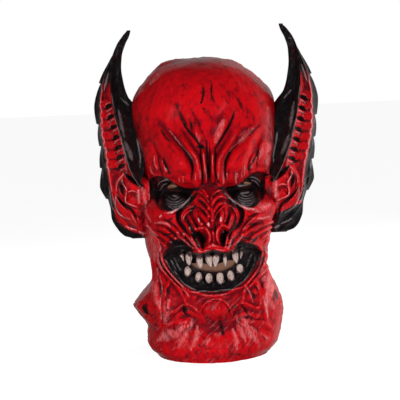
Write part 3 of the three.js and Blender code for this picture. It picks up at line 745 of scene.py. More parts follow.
COLUMNS = 300 if FINE else 180
INNER_COLUMNS = 90
FRONT_CROWDING = 0.7  # how much closer the columns stand on the face than on the back
ROW_SHARE = 1 if FINE else 0.6
RIM_ROWS = (0, 0.5, 2, 4)
SKIN_ROWS = ((6, 86, 1.8), (86, 266, 1), (266, DOME_START, 1.8))  # from, to and step
DOME_STEP = 0.042  # in radians
UNDER_TOP = SKULL_TOP - 1e-6
INNER_RIM_ROWS = (0, 3, 10)
INNER_ROWS = (20, DOME_START, 6)
INNER_DOME_STEP = 0.16


def dome_levels(step):
    """Heights of the rows over the dome, for a step of angle."""
    angles = np.arange(0, math.pi / 2, step / ROW_SHARE)
    return DOME_START + (SKULL_TOP - DOME_START) * np.sin(angles)


def turns_of(count):
    """Directions of the columns."""
    even = np.arange(count) / count * 2 * np.pi - np.pi
    return even - FRONT_CROWDING * np.sin(even)


LUMPS = ((17, 3, 0.8), (6, 4, 0.45), (3.2, 5, 0.3))  # size of the lumps, seed and height


def head_skin():
    """The carved outside of the head, lumpier on the neck, the top and the back than on the face."""
    rows = [np.arange(start, end, step / ROW_SHARE) for start, end, step in SKIN_ROWS]
    levels = np.concatenate([RIM_ROWS, *rows, dome_levels(DOME_STEP)])
    level, turn = np.meshgrid(levels, turns_of(COLUMNS), indexing="ij")
    at, way, _ = bare_wall(level, turn)
    p = at + way * (carved_height(level, turn, carve) + nape(at))[..., None]
    height, depth = at[..., 2].ravel(), at[..., 1].ravel()
    lumpy = 0.5 + 1.1 * ease(120, 70, height) + 1.4 * ease(310, 350, height) + 1.3 * ease(0, 60, depth)
    wobble = lumpy * sum(noise(p.reshape(-1, 3), lump, seed) * swing for lump, seed, swing in LUMPS)
    p += way * wobble.reshape(level.shape)[..., None]
    p[0, :, 2] = 0
    return ringed("demon_mask_cast", p, (lean(0), 0, 0), (lean(SKULL_TOP), 0, SKULL_TOP))


CAVITY_FOOT = -12  # under the rim, so that the neck is cut open
NEAR_RISES = (-7, 0, 7)  # steps up and round to the places that count as nearby
NEAR_TURNS = (-0.08, 0, 0.08)


def inner_skin():
    """The hollow of the head, a wall's thickness under the lowest that the face is nearby."""
    levels = np.concatenate([INNER_RIM_ROWS, np.arange(*INNER_ROWS), dome_levels(INNER_DOME_STEP)])
    level, turn = np.meshgrid(levels, turns_of(INNER_COLUMNS), indexing="ij")
    lowest = np.full(level.shape, np.inf)
    for rise in NEAR_RISES:
        near = np.clip(level + rise, 0, UNDER_TOP)
        for step in NEAR_TURNS:
            lowest = np.minimum(lowest, carved_height(near, turn + step, inside_forms))
    at, way, _ = bare_wall(level, turn)
    p = at + way * (lowest - WALL)[..., None]
    p[0, :, 2] = CAVITY_FOOT
    return ringed("cavity", p, (lean(0), 0, CAVITY_FOOT), (lean(SKULL_TOP), 0, SKULL_TOP - WALL))


FIRST_DEPTH = -90.0
DEPTH_ROUNDS = 8


def on_face(u, v, sunk):
    """A place on the face without its folds, sunk by a depth. Each round brings it nearer the wall."""
    y = FIRST_DEPTH
    for _ in range(DEPTH_ROUNDS):
        p = spot(u, v, y)
        across = np.clip(np.abs(p[0] - lean(p[2])) / half_width(p[2]), 0, 1)
        y = -front_reach(p[2]) * (1 - across ** ROUNDNESS) ** (1 / ROUNDNESS)
    relief = Relief(np.array([[u, v]], float))
    broad_forms(relief)
    return spot(u, v, y - relief.height[0] + sunk)


# Teeth on the sheet: u and v in the gum, u and v of the point, half width, and how sharp
TEETH = (
    (-40.5, 147, -37.5, 136, 2.2, 1), (-31, 147, -31, 130.5, 4.3, 0.5), (-17, 143, -16.5, 126, 3.9, 0.35),
    (-6, 143, -2.5, 126.8, 4.7, 0.8), (5, 143, 2.8, 126.8, 4.3, 0.8), (16, 142, 16, 127, 2.3, 0.5),
    (28.5, 147, 31, 130.5, 3.9, 0.6), (37.8, 148, 36, 136, 2.1, 1),
    (-33.5, 116.5, -33, 129.5, 4.4, 0.1), (-20, 109.5, -19, 121.5, 4.1, 0.1), (-6, 107, -6, 119.5, 4.2, 0),
    (9, 105.5, 8, 119.5, 4.7, 0), (23, 108.5, 21.5, 121.5, 4.1, 0.1), (34.5, 118, 34.5, 129.5, 4.2, 0),
)
TOOTH_SUNK = 7
TOOTH_SLANT = 1.5  # how far its point stands in front of its root
TOOTH_FLATNESS = 0.85  # its thickness over its width
TOOTH_SIDES = 16
TOOTH_LUMP = 3.2
TOOTH_LUMPINESS = 0.12
TOOTH_SEED = 20
TOOTH_SHARES = np.concatenate([np.linspace(0, 0.8, 8), np.linspace(0.86, 0.992, 6)])  # rings along it


def tooth_radius(along, width, sharp):
    """Half width of a tooth along its length, blunt or pointed."""
    widest = 0.5 - 0.25 * sharp
    t = np.abs(along - widest) / np.where(along < widest, widest + 0.08, 1 - widest)
    t = np.clip(t, 0, 1)
    return width * (np.sqrt(1 - t ** 2) * (1 - sharp) + (1 - t ** 1.4) * sharp)


def tooth(number, gum_u, gum_v, tip_u, tip_v, width, sharp):
    """A tooth of rings from its root in the gum to its point."""
    gum = on_face(gum_u, gum_v, TOOTH_SUNK)
    tip = spot(tip_u, tip_v, gum[1] - TOOTH_SLANT)
    axis = tip - gum
    length = np.linalg.norm(axis)
    along = axis / length
    forward = np.cross(along, (1, 0, 0))
    forward /= np.linalg.norm(forward)
    sideways = np.cross(along, forward)
    angles = np.arange(TOOTH_SIDES)[:, None] / TOOTH_SIDES * 2 * np.pi
    circle = np.cos(angles) * sideways + np.sin(angles) * forward * TOOTH_FLATNESS
    middles = gum + TOOTH_SHARES[:, None, None] * axis
    out = tooth_radius(TOOTH_SHARES, width, sharp)[:, None, None] * circle
    lumps = noise((middles + out).reshape(-1, 3), TOOTH_LUMP, TOOTH_SEED + number).reshape(out.shape[:2])
    rings = middles + out * (1 + TOOTH_LUMPINESS * lumps[..., None])
    return tag(ringed(f"tooth_{number}", rings, gum, tip), "tooth")


# The blade in front of each ear, and the ear behind it. Each curve gives a length for a height on the
# sheet: how far out a line is, or how deep.
ear_lean = through((175, -3), (200, -4.5), (225, -3.2), (255, -2.6), (290, -0.2), (335, 0.4), (385, 1),
                   (437.5, 2.8))
blade_inner = through((236, 86), (262, 80), (300, 84), (330, 90), (344, 96), (358, 102), (370, 105),
                      (390, 107.5), (405, 106.5), (420, 102), (430, 97), (437.5, 95))
blade_rim = through((236, 89), (250, 96), (270, 104), (300, 112), (335, 119.5), (365, 122.5), (390, 121.5),
                    (405, 119), (420, 113), (432, 104.5), (437.5, 99.8))
blade_rim_depth = through((236, -50), (255, -58), (270, -57), (300, -48), (335, -35), (370, -22),
                          (400, -12), (437.5, 0))
blade_inner_depth = through((236, -48), (262, -45), (300, -40), (335, -20), (370, -8), (400, -3),
                            (437.5, 2))
blade_hollow = through((236, 1), (270, 9), (330, 13), (370, 10), (400, 5), (437.5, 0.5))
blade_thickness = through((236, 10), (300, 12), (350, 9), (400, 6), (437.5, 2.5))
BLADE_FOOT = 236
BLADE_TIP = 437.5
BLADE_ROWS = 120 if FINE else 70
BLADE_FRONT_COLUMNS = 21
BLADE_BACK_COLUMNS = 13


def blade(side):
    """A curved blade with a hollow front, closed behind."""
    v = np.linspace(BLADE_FOOT, BLADE_TIP, BLADE_ROWS)[:, None]
    front = np.linspace(0, 1, BLADE_FRONT_COLUMNS)[None, :]
    back = np.linspace(1, 0, BLADE_BACK_COLUMNS)[None, 1:-1]
    sheets = []
    for t, behind in ((front, 0), (back, 1)):
        u = blade_inner(v) + (blade_rim(v) - blade_inner(v)) * t
        edge = blade_inner_depth(v) + (blade_rim_depth(v) - blade_inner_depth(v)) * t
        bow = np.sin(np.pi * t) ** 0.7
        depth = edge + bow * (blade_hollow(v) + behind * blade_thickness(v))
        sheets.append(spot(u * side + ear_lean(v), v, depth))
    rings = np.concatenate(sheets, axis=1)
    return tag(ringed("blade", rings, rings[0].mean(0), rings[-1].mean(0)), "blade")


ear_outer = through((169, 100), (173, 110), (182, 118), (196, 124), (208, 125), (222, 130), (240, 137),
                    (262, 137), (285, 138), (315, 140.5), (340, 142.5), (360, 139.5), (385, 130),
                    (400, 122.5), (410, 117), (419, 112))
ear_band = through((169, 92), (182, 104), (200, 114), (222, 122), (250, 126), (280, 131), (315, 136),
                   (345, 136), (370, 132), (395, 123), (419, 112))
ear_middle = through((169, 86), (200, 98), (230, 104), (250, 104), (300, 112), (335, 119), (365, 122),
                     (390, 119), (419, 111))
ear_root = through((169, 74), (322, 78), (340, 90), (354, 101), (370, 107), (390, 111), (419, 107))
ear_middle_depth = through((169, -20), (190, -30), (225, -42), (250, -42), (300, -34), (335, -22),
                           (370, -8), (419, -3))
ear_band_depth = through((169, -12), (200, -16), (225, -18), (250, -15), (300, -8), (335, -2), (370, 5),
                         (419, -1))
ear_root_drop = through((169, 3), (238, 3), (256, 22), (335, 24), (365, 14), (419, 2))
ear_outer_depth = through((169, 0), (200, 6), (240, 14), (300, 20), (335, 21), (370, 16), (419, 0))
ear_thickness = through((169, 18), (200, 30), (250, 34), (300, 30), (335, 24), (370, 14), (419, 3))
EAR_FOOT = 169
EAR_TOP = 419
EAR_ROWS = 230 if FINE else 130
EAR_LIP = (2, 5)  # how far its edge is turned back, inward and in depth
FIN_STEPS = (150, 222, 262, 291, 319, 372, 430)  # heights at which the outer edge steps in
RIBS = (262, 274, 286.5, 299.5, 313, 326.5, 340)
RIB_STEP = 13
# Folds of an ear: a line on the sheet, the half width at its start and at its end, and the height
EAR_FOLDS = (
    ((104, 256, 111, 251.5, 116, 245, 118, 237, 117.5, 229), 2.2, 2.2, 6),  # helix
    ((106, 246, 99, 240, 91, 234, 82, 229), 7, 7, 9),  # tragus
    ((102, 223, 96, 219.5, 84, 218), 7, 7, 9),
    ((110, 250, 109.5, 242, 105.5, 235, 104.5, 229), 2.0, 1.8, 12),
    ((104.5, 229, 106.5, 222, 105, 216.5, 98, 213, 88, 209), 1.8, 1.8, 12),
    ((104.5, 229, 98, 231, 91, 229, 85, 226), 1.4, 1.4, 11),
    ((122, 244, 119, 222, 111, 206, 101, 197, 86, 187), 4, 7, 7),  # lobe
    ((119.5, 218, 114.5, 206, 107, 198, 96, 191.5), 1.4, 1.4, 9),
    ((127, 246, 126.5, 228, 124, 214, 118, 203), 1.7, 1.7, 6),
    ((134, 262, 133.5, 246, 130.5, 232, 126, 220), 1.4, 1.4, 3),
    ((112, 184, 103, 180, 92, 178), 3, 3, 2),
)
# Grooves of an ear: a line, the half width, the depth, and the half width of the paint
EAR_GROOVES = (
    ((104, 228, 97, 226.5, 91, 223, 84, 218), 2.5, 3, 0.6),
    ((117.5, 226, 112.5, 218.5, 105.5, 212, 98, 206.5, 93.5, 199, 91.5, 189), 3.2, 6, 1.7),
    ((122.5, 236, 120.5, 223, 117, 209.5, 110, 200, 100, 192), 2.2, 3, 0.7),
    ((109.5, 245, 110.5, 237, 109, 227), 4, 6, 2.2),
    ((106, 254, 99, 247.5, 91, 241.5, 83, 237), 4.5, 6, 3.6),
    ((120, 262, 112, 258, 108, 256), 3, 2.5, 0.9),
)


def rib_lines(drop, length):
    """A line for each rib of the band, running out and down from the blade."""
    for v in RIBS:
        start = float(ear_middle(v)) + 1
        top = v - drop
        yield start, top + 3.5, start + length / 2, top + 2, start + length, top - 1.5


def rib_grooves():
    """A pocket under each rib, and a thin groove across the rib."""
    for line in rib_lines(0, 9):
        yield line, 4, 5, 3.0
    for line in rib_lines(6.2, 9):
        yield line, 1.4, 2, 0.7


def fin_folds():
    """A raised edge down the fin from each step of its outline."""
    for v in FIN_STEPS[1:-1]:
        u = float(ear_outer(v))
        yield (u - 0.5, v + 1, u - 3, v - 12, float(ear_band(v - 32)) + 2, v - 32), 1.5, 1.3, 2.6


def fin_edge(v):
    """How far the steps of the outer edge stand out from its plain line."""
    steps = np.array(FIN_STEPS, float)
    i = np.clip(np.searchsorted(steps, v, "right") - 1, 0, len(steps) - 2)
    share = (v - steps[i]) / (steps[i + 1] - steps[i])
    step = 1.6 * np.sin(np.pi * share) + 2.6 * (0.5 - share)
    return step * ease(200, 225, v) * (1 - ease(375, 400, v))


def band_edge(v):
    """The outer edge of the ribbed band, which bulges with the ribs."""
    bulge = 1.1 * np.sin((v - RIBS[0]) / RIB_STEP * 2 * np.pi)
    return ear_band(v) + bulge * ease(250, 262, v) * (1 - ease(345, 355, v))


def ear_forms(uv):
    """Heights on the front of an ear, for u to the right."""
    relief = Relief(uv)
    u, v = uv[:, 0], uv[:, 1]
    edge = np.exp(-((u - band_edge(v)) / 1.5) ** 2) * ease(205, 235, v) * (1 - ease(385, 410, v))
    relief.height += 2.8 * edge
    for rib in RIBS:
        relief.ball(float(ear_band(rib + 6)) - 5, rib + 5, 8, 6.6, 4.2, both=False)
    relief.settle()
    relief.rolls(EAR_FOLDS)
    relief.rolls(fin_folds())
    relief.settle()
    for places, width, depth, _ in (*EAR_GROOVES, *rib_grooves()):
        relief.cut(places, width, depth)
    return relief.height


def ear(side):
    """An ear closed behind, with its forms on the front alone."""
    v = np.linspace(EAR_FOOT, EAR_TOP, EAR_ROWS)[:, None]
    middle, band, root = ear_middle(v), ear_band(v), ear_root(v)
    near, far, outer_y = ear_middle_depth(v), ear_band_depth(v), ear_outer_depth(v)
    back = near + ear_thickness(v)
    outer = ear_outer(v) + fin_edge(v)

    def stretch(start, end, count, bow):
        t = np.arange(count)[None, :] / count
        u = start[0] + (end[0] - start[0]) * t
        y = start[1] + (end[1] - start[1]) * t + bow * np.sin(np.pi * t)
        return spot(u, v, y)

    # Corners of the ear's section, and how many columns follow each and how far they bow
    corners = [(root, near + ear_root_drop(v)), (middle, near), (band, far), (outer, outer_y),
               (outer - EAR_LIP[0], outer_y + EAR_LIP[1]), (middle, back), (root, back)]
    counts = (12, 26, 12, 3, 8, 4, 6)
    bows = (0, 3, 1, 1, 2, 0, 0)
    ends = corners[1:] + corners[:1]
    sheets = [stretch(*run) for run in zip(corners, ends, counts, bows)]
    front = np.concatenate(sheets[:3], axis=1)
    height = ear_forms(seen(front).reshape(-1, 2)).reshape(front.shape[:2])
    fade = np.concatenate([np.linspace(0.2, 1, 8), np.ones(front.shape[1] - 12), np.linspace(1, 0, 4)])
    front = spot(seen(front)[..., 0], seen(front)[..., 1], front[..., 1] - height * fade)
    rings = np.concatenate([front] + sheets[3:], axis=1)
    uv = seen(rings)
    rings = spot(uv[..., 0] * side + ear_lean(uv[..., 1]), uv[..., 1], rings[..., 1])
    return tag(ringed("ear", rings, rings[0].mean(0), rings[-1].mean(0)), "ear")


GAP_RUN = 90  # length of the bar that cuts an opening, and the depth of its middle
MOUTH_GAP_MIDDLE = -112
EYE_GAP_MIDDLE = -74


def gap(name, outline, middle_y, part):
    """A bar with an outline drawn on the sheet, to cut an opening straight back."""
    line = smooth_line(outline + outline[:2], 4)[:-1]
    front = spot(line[:, 0], line[:, 1], middle_y)
    rings = np.stack([front - (0, GAP_RUN / 2, 0), front + (0, GAP_RUN / 2, 0)])
    return tag(ringed(name, rings, rings[0].mean(0), rings[1].mean(0)), part)


MOUTH_GAP = [-29, 131, -15, 132, 0, 128, 15, 132, 29, 132, 24, 124, 5, 119.5, -20, 124]
EYE_GAP = [34, 228, 41, 230.3, 51, 231, 57, 229.3, 48, 227.8]


def cast_mask():
    """The whole mask as one skin: the head with its ears, blades and teeth, cut open and hollowed."""
    cast = tag(head_skin(), "skin")
    for side in (-1, 1):
        combine(cast, ear(side), "UNION")
        combine(cast, blade(side), "UNION")
    combine(cast, gap("mouth_gap", MOUTH_GAP, MOUTH_GAP_MIDDLE, "inside"), "DIFFERENCE")
    for outline in (flipped(EYE_GAP), EYE_GAP):
        combine(cast, gap("eye_gap", outline, EYE_GAP_MIDDLE, "skin"), "DIFFERENCE")
    for number, place in enumerate(TEETH):
        combine(cast, tooth(number, *place), "UNION")
    combine(cast, tag(inner_skin(), "inside"), "DIFFERENCE")
    return cast


def part_shares(piece):
    """The share of each vertex's faces that belongs to each part."""
    mesh = piece.data
    part = np.empty(len(mesh.polygons), np.int32)
    sides = np.empty(len(mesh.polygons), np.int32)
    corners = np.empty(len(mesh.loops), np.int32)
    mesh.polygons.foreach_get("material_index", part)
    mesh.polygons.foreach_get("loop_total", sides)
    mesh.loops.foreach_get("vertex_index", corners)
    of_corner = np.repeat(part, sides)
    count = np.bincount(corners, minlength=len(mesh.vertices))
    return {name: np.bincount(corners, of_corner == i, len(mesh.vertices)) / count
            for i, name in enumerate(PARTS)}


MOST_FACES = 197000
HIDDEN_STEPS = 4
VISIBLE_LOSS = 0.01  # how readily the seen part is thinned
MERGE_REACH = 1e-6  # in metres
SLIVER_ROUNDS = 6


def normals_of(piece):
    flat = np.empty(len(piece.data.vertices) * 3)
    piece.data.vertices.foreach_get("normal", flat)
    return flat.reshape(-1, 3)


def towards_viewer(piece):
    """How far the surface faces the viewer, from -1 to 1."""
    towards = VIEWER - layout_places(piece)
    towards /= np.linalg.norm(towards, axis=1, keepdims=True)
    return np.sum(normals_of(piece) * towards, axis=1)


def lighten(piece):
    """Thins the back of a mesh, to the number of triangles that its file may hold."""
    piece.data.calc_loop_triangles()
    count = len(piece.data.loop_triangles)
    if count <= MOST_FACES:
        return
    hidden = ease(0.1, -0.25, towards_viewer(piece)) * (1 - part_shares(piece)["inside"])
    group = piece.vertex_groups.new(name="hidden")
    for step in range(HIDDEN_STEPS + 1):
        some = np.flatnonzero(np.rint(hidden * HIDDEN_STEPS) == step)
        group.add(some.tolist(), step / HIDDEN_STEPS, "REPLACE")
    bpy.context.view_layer.objects.active = piece
    modifier = piece.modifiers.new("lighten", "DECIMATE")
    modifier.ratio = MOST_FACES / count
    modifier.vertex_group = group.name
    modifier.vertex_group_factor = VISIBLE_LOSS
    bpy.ops.object.modifier_apply(modifier=modifier.name)
    piece.vertex_groups.clear()


def drop_slivers(piece):
    """Takes out the folded slivers that the joins leave, so that each edge has two faces."""
    bpy.context.view_layer.objects.active = piece
    bpy.ops.object.mode_set(mode="EDIT")
    bpy.ops.mesh.select_mode(type="FACE")
    bpy.ops.mesh.select_all(action="SELECT")
    bpy.ops.mesh.remove_doubles(threshold=MERGE_REACH)
    bpy.ops.mesh.quads_convert_to_tris()
    bpy.ops.object.mode_set(mode="OBJECT")
    for _ in range(SLIVER_ROUNDS):
        corners = np.empty(len(piece.data.polygons) * 3, np.int32)
        piece.data.polygons.foreach_get("vertices", corners)
        corners = np.sort(corners.reshape(-1, 3), axis=1)
        _, same, copies = np.unique(corners, axis=0, return_inverse=True, return_counts=True)
        sides = np.concatenate([corners[:, [0, 1]], corners[:, [1, 2]], corners[:, [0, 2]]])
        _, side, users = np.unique(sides, axis=0, return_inverse=True, return_counts=True)
        lone = (users[side.ravel()] < 2).reshape(3, -1).any(axis=0)
        stray = lone | (copies[same.ravel()] > 1)
        if not stray.any():
            break
        piece.data.polygons.foreach_set("select", stray)
        bpy.ops.object.mode_set(mode="EDIT")
        bpy.ops.mesh.delete(type="ONLY_FACE")
        bpy.ops.mesh.select_all(action="SELECT")
        bpy.ops.mesh.delete_loose(use_verts=True, use_edges=True, use_faces=False)
        bpy.ops.object.mode_set(mode="OBJECT")
    keep_skin(piece)


def keep_skin(piece):
    """Takes out all that isn't joined to the highest point."""
    bpy.ops.object.mode_set(mode="EDIT")
    bpy.ops.mesh.select_mode(type="VERT")
    bpy.ops.mesh.select_all(action="DESELECT")
    bpy.ops.object.mode_set(mode="OBJECT")
    piece.data.vertices[int(np.argmax(places_of(piece)[:, 2]))].select = True
    bpy.ops.object.mode_set(mode="EDIT")
    bpy.ops.mesh.select_linked()
    bpy.ops.mesh.select_all(action="INVERT")
    bpy.ops.mesh.delete(type="VERT")
    bpy.ops.object.mode_set(mode="OBJECT")


mask = cast_mask()
lighten(mask)
drop_slivers(mask)
mask.name = "demon_mask_cast"
mask.data.shade_smooth()


# Paint, as shares from 0 to 1 at each vertex

def edges_of(piece):
    flat = np.empty(len(piece.data.edges) * 2, np.int32)
    piece.data.edges.foreach_get("vertices", flat)
    return flat.reshape(-1, 2)


def averaged(values, edges, rounds):
    """Values taken to the middle of their neighbours', over and over."""
    a, b = edges.T
    count = np.bincount(edges.ravel(), minlength=len(values))
    for _ in range(rounds):
        columns = [np.bincount(a, column[b], len(values)) + np.bincount(b, column[a], len(values))
                   for column in values.T]
        values = (np.stack(columns) / count).T
    return values


SPREAD_ROUNDS = 3
FINE_ROUNDS = 3  # for single folds
BROAD_ROUNDS = 16  # for the forms that they lie on


def hollowness(places, normals, edges, rounds):
    """How sharply the surface is hollow, one over a radius in millimetres, and negative on a ridge."""
    length = np.linalg.norm(places[edges[:, 0]] - places[edges[:, 1]], axis=1)
    count = np.bincount(edges.ravel(), minlength=len(places))
    local = np.bincount(edges[:, 0], length, len(places)) + np.bincount(edges[:, 1], length, len(places))
    spread = averaged((local / count)[:, None] ** 2, edges, SPREAD_ROUNDS)[:, 0]
    sunk = np.sum((averaged(places, edges, rounds) - places) * normals, axis=1)
    return 2 * sunk / (rounds * spread)


# Strokes of paint, each a line on the sheet and a half width

# Black strokes
INK = (
    # cracks of the chin and the neck
    ((6, 53, 8, 49, 7, 45), 2.6), ((10, 42, 9, 37), 2.6), ((-61, 101, -59, 95), 2.6),
    ((51, 90, 52, 84), 2.2), ((-40, 76, -37, 70), 2.4), ((26, 76, 29, 71), 1.8),
    ((79, 94, 81, 88, 81, 81), 2.0), ((-24, 26, -20, 22), 1.6), ((60, 34, 64, 28), 1.2),
    ((24, 12, 32, 10), 1.5), ((-56, 52, -53, 46), 1.6),
    # nostrils and the folds beside them
    ((-21, 173, -15, 169, -11.5, 162, -12, 154), 5.5), ((21, 172, 16, 170, 13.5, 163, 14, 155), 4.6),
    ((-31, 193, -28, 183, -24, 175, -20, 166), 2.4), ((31.5, 191, 29.5, 180, 25, 172, 21, 164), 2.2),
    # between the folds of the snout, and on the forehead
    ((-15, 216, -9, 211.5, -3.5, 204.5), 1.4), ((-15, 206, -9, 200, -4, 193.5), 1.3),
    ((-13, 224.5, -7, 218.5, -2.5, 210), 1.0), ((-19, 209, -24, 203, -27, 196), 2.2),
    ((-18, 196, -14, 190, -12, 185), 1.0), ((3.5, 201, 6.5, 208, 11, 213.8, 17, 214.5), 1.4),
    ((4, 191, 8.5, 199.5, 14, 205.5), 1.1), ((2.5, 214, 6, 221.5, 11, 223.5), 1.2),
    ((20, 212, 26, 208, 30, 200), 2.0), ((23, 200, 23, 192, 20, 184), 1.2),
    ((5, 188, 8, 192, 10, 198), 1.4), ((-13, 284, -9, 284.5, -5, 283), 3.4),
    ((-21, 318, -19.5, 312, -20.5, 306), 1.6), ((-3, 332, 0, 330, 3, 329), 1.2),
    ((-3, 346, -5.5, 342, -6, 339), 1.8), ((8, 349, 9.5, 344, 11, 341), 1.6),
    ((40, 345, 44, 338, 46, 330), 1.4), ((-16, 224, -24, 216, -28, 210), 3.0),
    ((16, 226, 20, 222, 24, 218), 2.2), ((-25, 172, -21, 164, -17, 156), 2.6),
    # between the ridges of the lips, in the cheeks and round the eyes
    ((-68.5, 150, -68.3, 139, -64.3, 129, -57, 118.5, -49.5, 109, -40, 98.5), 1.3),
    ((66.5, 152, 68, 142, 65, 130, 58, 117, 50, 106.5, 41, 97), 1.3),
    ((-63.5, 148, -63.5, 140, -59.5, 130, -52, 119, -45, 110.5, -35, 100), 1.2),
    ((61, 148, 62.8, 142, 60, 131, 53, 119, 45.5, 109, 37, 101), 1.2),
    ((-60, 158, -52, 167, -46, 171), 1.3), ((-36, 171, -30, 161, -26, 153), 1.5),
    ((30, 166, 26, 158, 24, 151), 1.4), ((36, 166, 44, 163, 54, 161), 1.3),
    ((-26, 224, -22, 229, -14, 229), 2.4), ((12, 230, 18, 228, 24, 226), 2.4),
    ((-48, 175, -56, 172, -64, 172), 1.6), ((46, 181, 56, 181, 64, 180), 1.4),
    ((-56, 153, -52, 160, -44, 164), 3.4), ((50, 156, 56, 160, 60, 166), 2.0),
)
# Soft hazes of black, and one of painted shade down the left edge of the skull
SMUDGES = (
    ((-60, 102, -57, 97, -54, 92), 5), ((47, 93, 50, 88, 51, 82), 5), ((72, 58, 75, 53, 78, 48), 5),
    ((6, 60, 7, 50, 10, 40, 12, 34), 6), ((16, 16, 20, 11, 25, 6), 7), ((-6, 14, -2, 9, 2, 4), 5),
    ((-42, 78, -40, 72, -36, 66), 5), ((34, 78, 38, 72, 42, 66), 4), ((-36, 46, -33, 36, -34, 26), 3),
    ((78, 92, 77, 85, 79, 76), 4), ((-78, 128, -76, 120, -76, 110), 4), ((-22, 30, -14, 22, -4, 20), 4),
    ((50, 48, 56, 38, 58, 30), 3.5), ((-62, 40, -56, 30, -50, 24), 3), ((30, 34, 34, 24, 34, 16), 3),
    ((-40, 345, -38, 335, -40, 325), 5), ((-56, 306, -52, 299, -47, 291), 5),
    ((-22, 322, -18, 312, -22, 304), 5), ((-4, 334, 0, 329, 4, 324), 5), ((40, 348, 46, 336, 48, 326), 4),
    ((52, 330, 60, 320, 62, 306), 4), ((-70, 350, -74, 336, -76, 320), 4),
    ((62, 352, 70, 340, 76, 326), 4), ((6, 372, 8, 356, 12, 340), 3.5),
    # The second stroke on the next line is painted shade down the left edge of the skull, on the left of
    # the sheet.
    ((-4, 366, -2, 354, -6, 340), 3.5), ((-87, 332, -86, 305, -84, 272), 8),
    ((-20, 372, -28, 360, -30, 346), 3), ((24, 362, 30, 350, 30, 338), 3),
    ((-60, 366, -66, 356, -70, 344), 3), ((-8, 318, -10, 310, -8, 300), 2.5),
    ((60, 303, 55, 299, 49, 294), 3.5), ((31, 276, 26, 269, 22, 258), 4),
    ((-36, 292, -29, 282, -23, 270), 3), ((-40, 338, -33, 326, -26, 312), 4),
    ((40, 332, 34, 321, 27, 308), 4),
)
# Outlines of areas that are black all over
BLACK_AREAS = (
    [-64, 147, -58, 154, -52, 161, -45, 165, -38, 165, -34, 160, -28, 154, -25, 150, -36, 147, -50, 147],
    [28, 149, 31, 156, 38, 159, 46, 157.5, 54, 154.5, 62, 149, 50, 146, 38, 146],
    [-74, 228, -66, 220, -60, 203, -70, 212, -78, 226, -78, 242, -74, 250, -70, 244],
)
# Painted highlights in pale pink along ridges
GLEAMS = (
    ((-23, 222.5, -29, 215.5, -37, 208, -45, 203.4, -55, 201), 1.1),
    ((19.5, 223, 27, 215, 36, 207, 45, 202.6, 56, 200.5), 1.2), ((37, 231.3, 44, 231.3, 51, 231.5), 1.3),
    ((-48, 222.5, -45, 222, -42, 220.5), 1.0), ((40, 221.8, 46, 221.6, 51, 223), 1.0),
    ((-69, 234, -63, 241, -55, 243, -47, 240), 0.6), ((51, 242.3, 59, 241, 66, 235.5), 0.7),
    ((-65, 229, -60, 236, -55, 238.3), 0.5), ((53, 238.4, 60, 236, 65, 229), 0.6),
    ((-84, 190, -87, 198, -85, 207, -82, 215), 0.9), ((84, 190, 87, 198, 85, 207, 82, 215), 0.9),
    ((-3.6, 185, -3, 180.5), 1.5), ((13, 192, 12.6, 186), 1.3), ((-16.5, 192, -15, 186), 0.9),
    ((-28.5, 181, -27.5, 177), 1.1), ((-37, 173, -35.5, 171), 1.6), ((15, 173.5, 16, 171.5), 1.0),
    ((-64, 198, -67, 194.5), 0.9), ((-52, 200, -48, 202), 1.6),
)
# Fainter painted highlights in pink
SOFT_GLEAMS = (
    ((-33, 170, -28, 163, -22, 156, -17, 151), 0.8), ((-45, 171, -36, 163, -27, 155), 0.8),
    ((27, 165, 24, 158, 22, 152), 0.8), ((42, 168, 35, 160, 30, 154), 0.8), ((20, 165, 18, 158), 0.8),
    ((-80, 178, -70, 166, -66, 153), 1.0), ((-85, 192, -82, 183, -76, 176, -70, 171), 1.6),
    ((-73, 188, -64, 188, -57, 185.5, -53, 182), 1.6), ((60, 188, 68, 188, 76, 190), 1.6),
    ((72, 122, 71, 106, 69, 90, 66.5, 74, 68.5, 58), 2.4), ((76, 112, 77, 100, 75, 86), 1.8),
    ((-69.5, 118, -67.5, 101, -71, 80, -70.5, 62), 1.1), ((-78, 112, -86, 100, -94, 92), 1.2),
    ((40, 102, 46, 92, 50, 78), 0.9), ((-32, 88, -37, 96, -44, 104), 0.9),
    ((-66, 148, -66, 140, -62, 130, -55, 120, -48, 111, -40, 102), 0.8),
    ((-70.6, 148, -70, 138, -66, 128, -59, 117.5, -51, 108), 0.7),
    ((63.5, 151, 65.5, 143, 62.5, 131, 56, 118.5, 48, 108), 0.8),
    ((70, 150, 70, 141, 67.5, 130, 60, 116, 52, 106), 0.7),
    ((-51, 310, -43.5, 300.5, -37, 291, -30, 282.5, -23, 273.5, -18, 262), 0.9),
    ((63, 306, 46, 292, 34, 283.5, 25, 273.5, 19.5, 262, 18.5, 250, 19.5, 240), 1.0),
    ((-17.5, 251, -17.5, 240), 0.9), ((-11, 254, -11.5, 242), 1.2), ((-3.6, 262, -3.4, 240), 0.8),
    ((12, 251, 12, 241), 1.2), ((18.5, 248, 18.5, 235), 1.3), ((23.5, 250, 23.5, 240), 0.8),
    ((35, 250, 34.5, 234), 1.3), ((37, 250, 37.5, 242), 0.6), ((42.5, 250, 42.5, 240), 1.0),
    ((47, 257, 45.8, 243), 0.9), ((-38.5, 247, -38.5, 239), 0.8), ((-33.5, 247, -33.5, 239), 0.9),
    ((-57, 260, -54.5, 254), 1.7), ((56.5, 262, 55, 255), 1.3),
    ((-66, 250, -58, 246.5, -50, 241.5, -44, 237), 0.8), ((-70, 275, -69, 265, -66, 256), 0.9),
    ((-76, 262, -74, 254, -69, 250), 0.9),
)
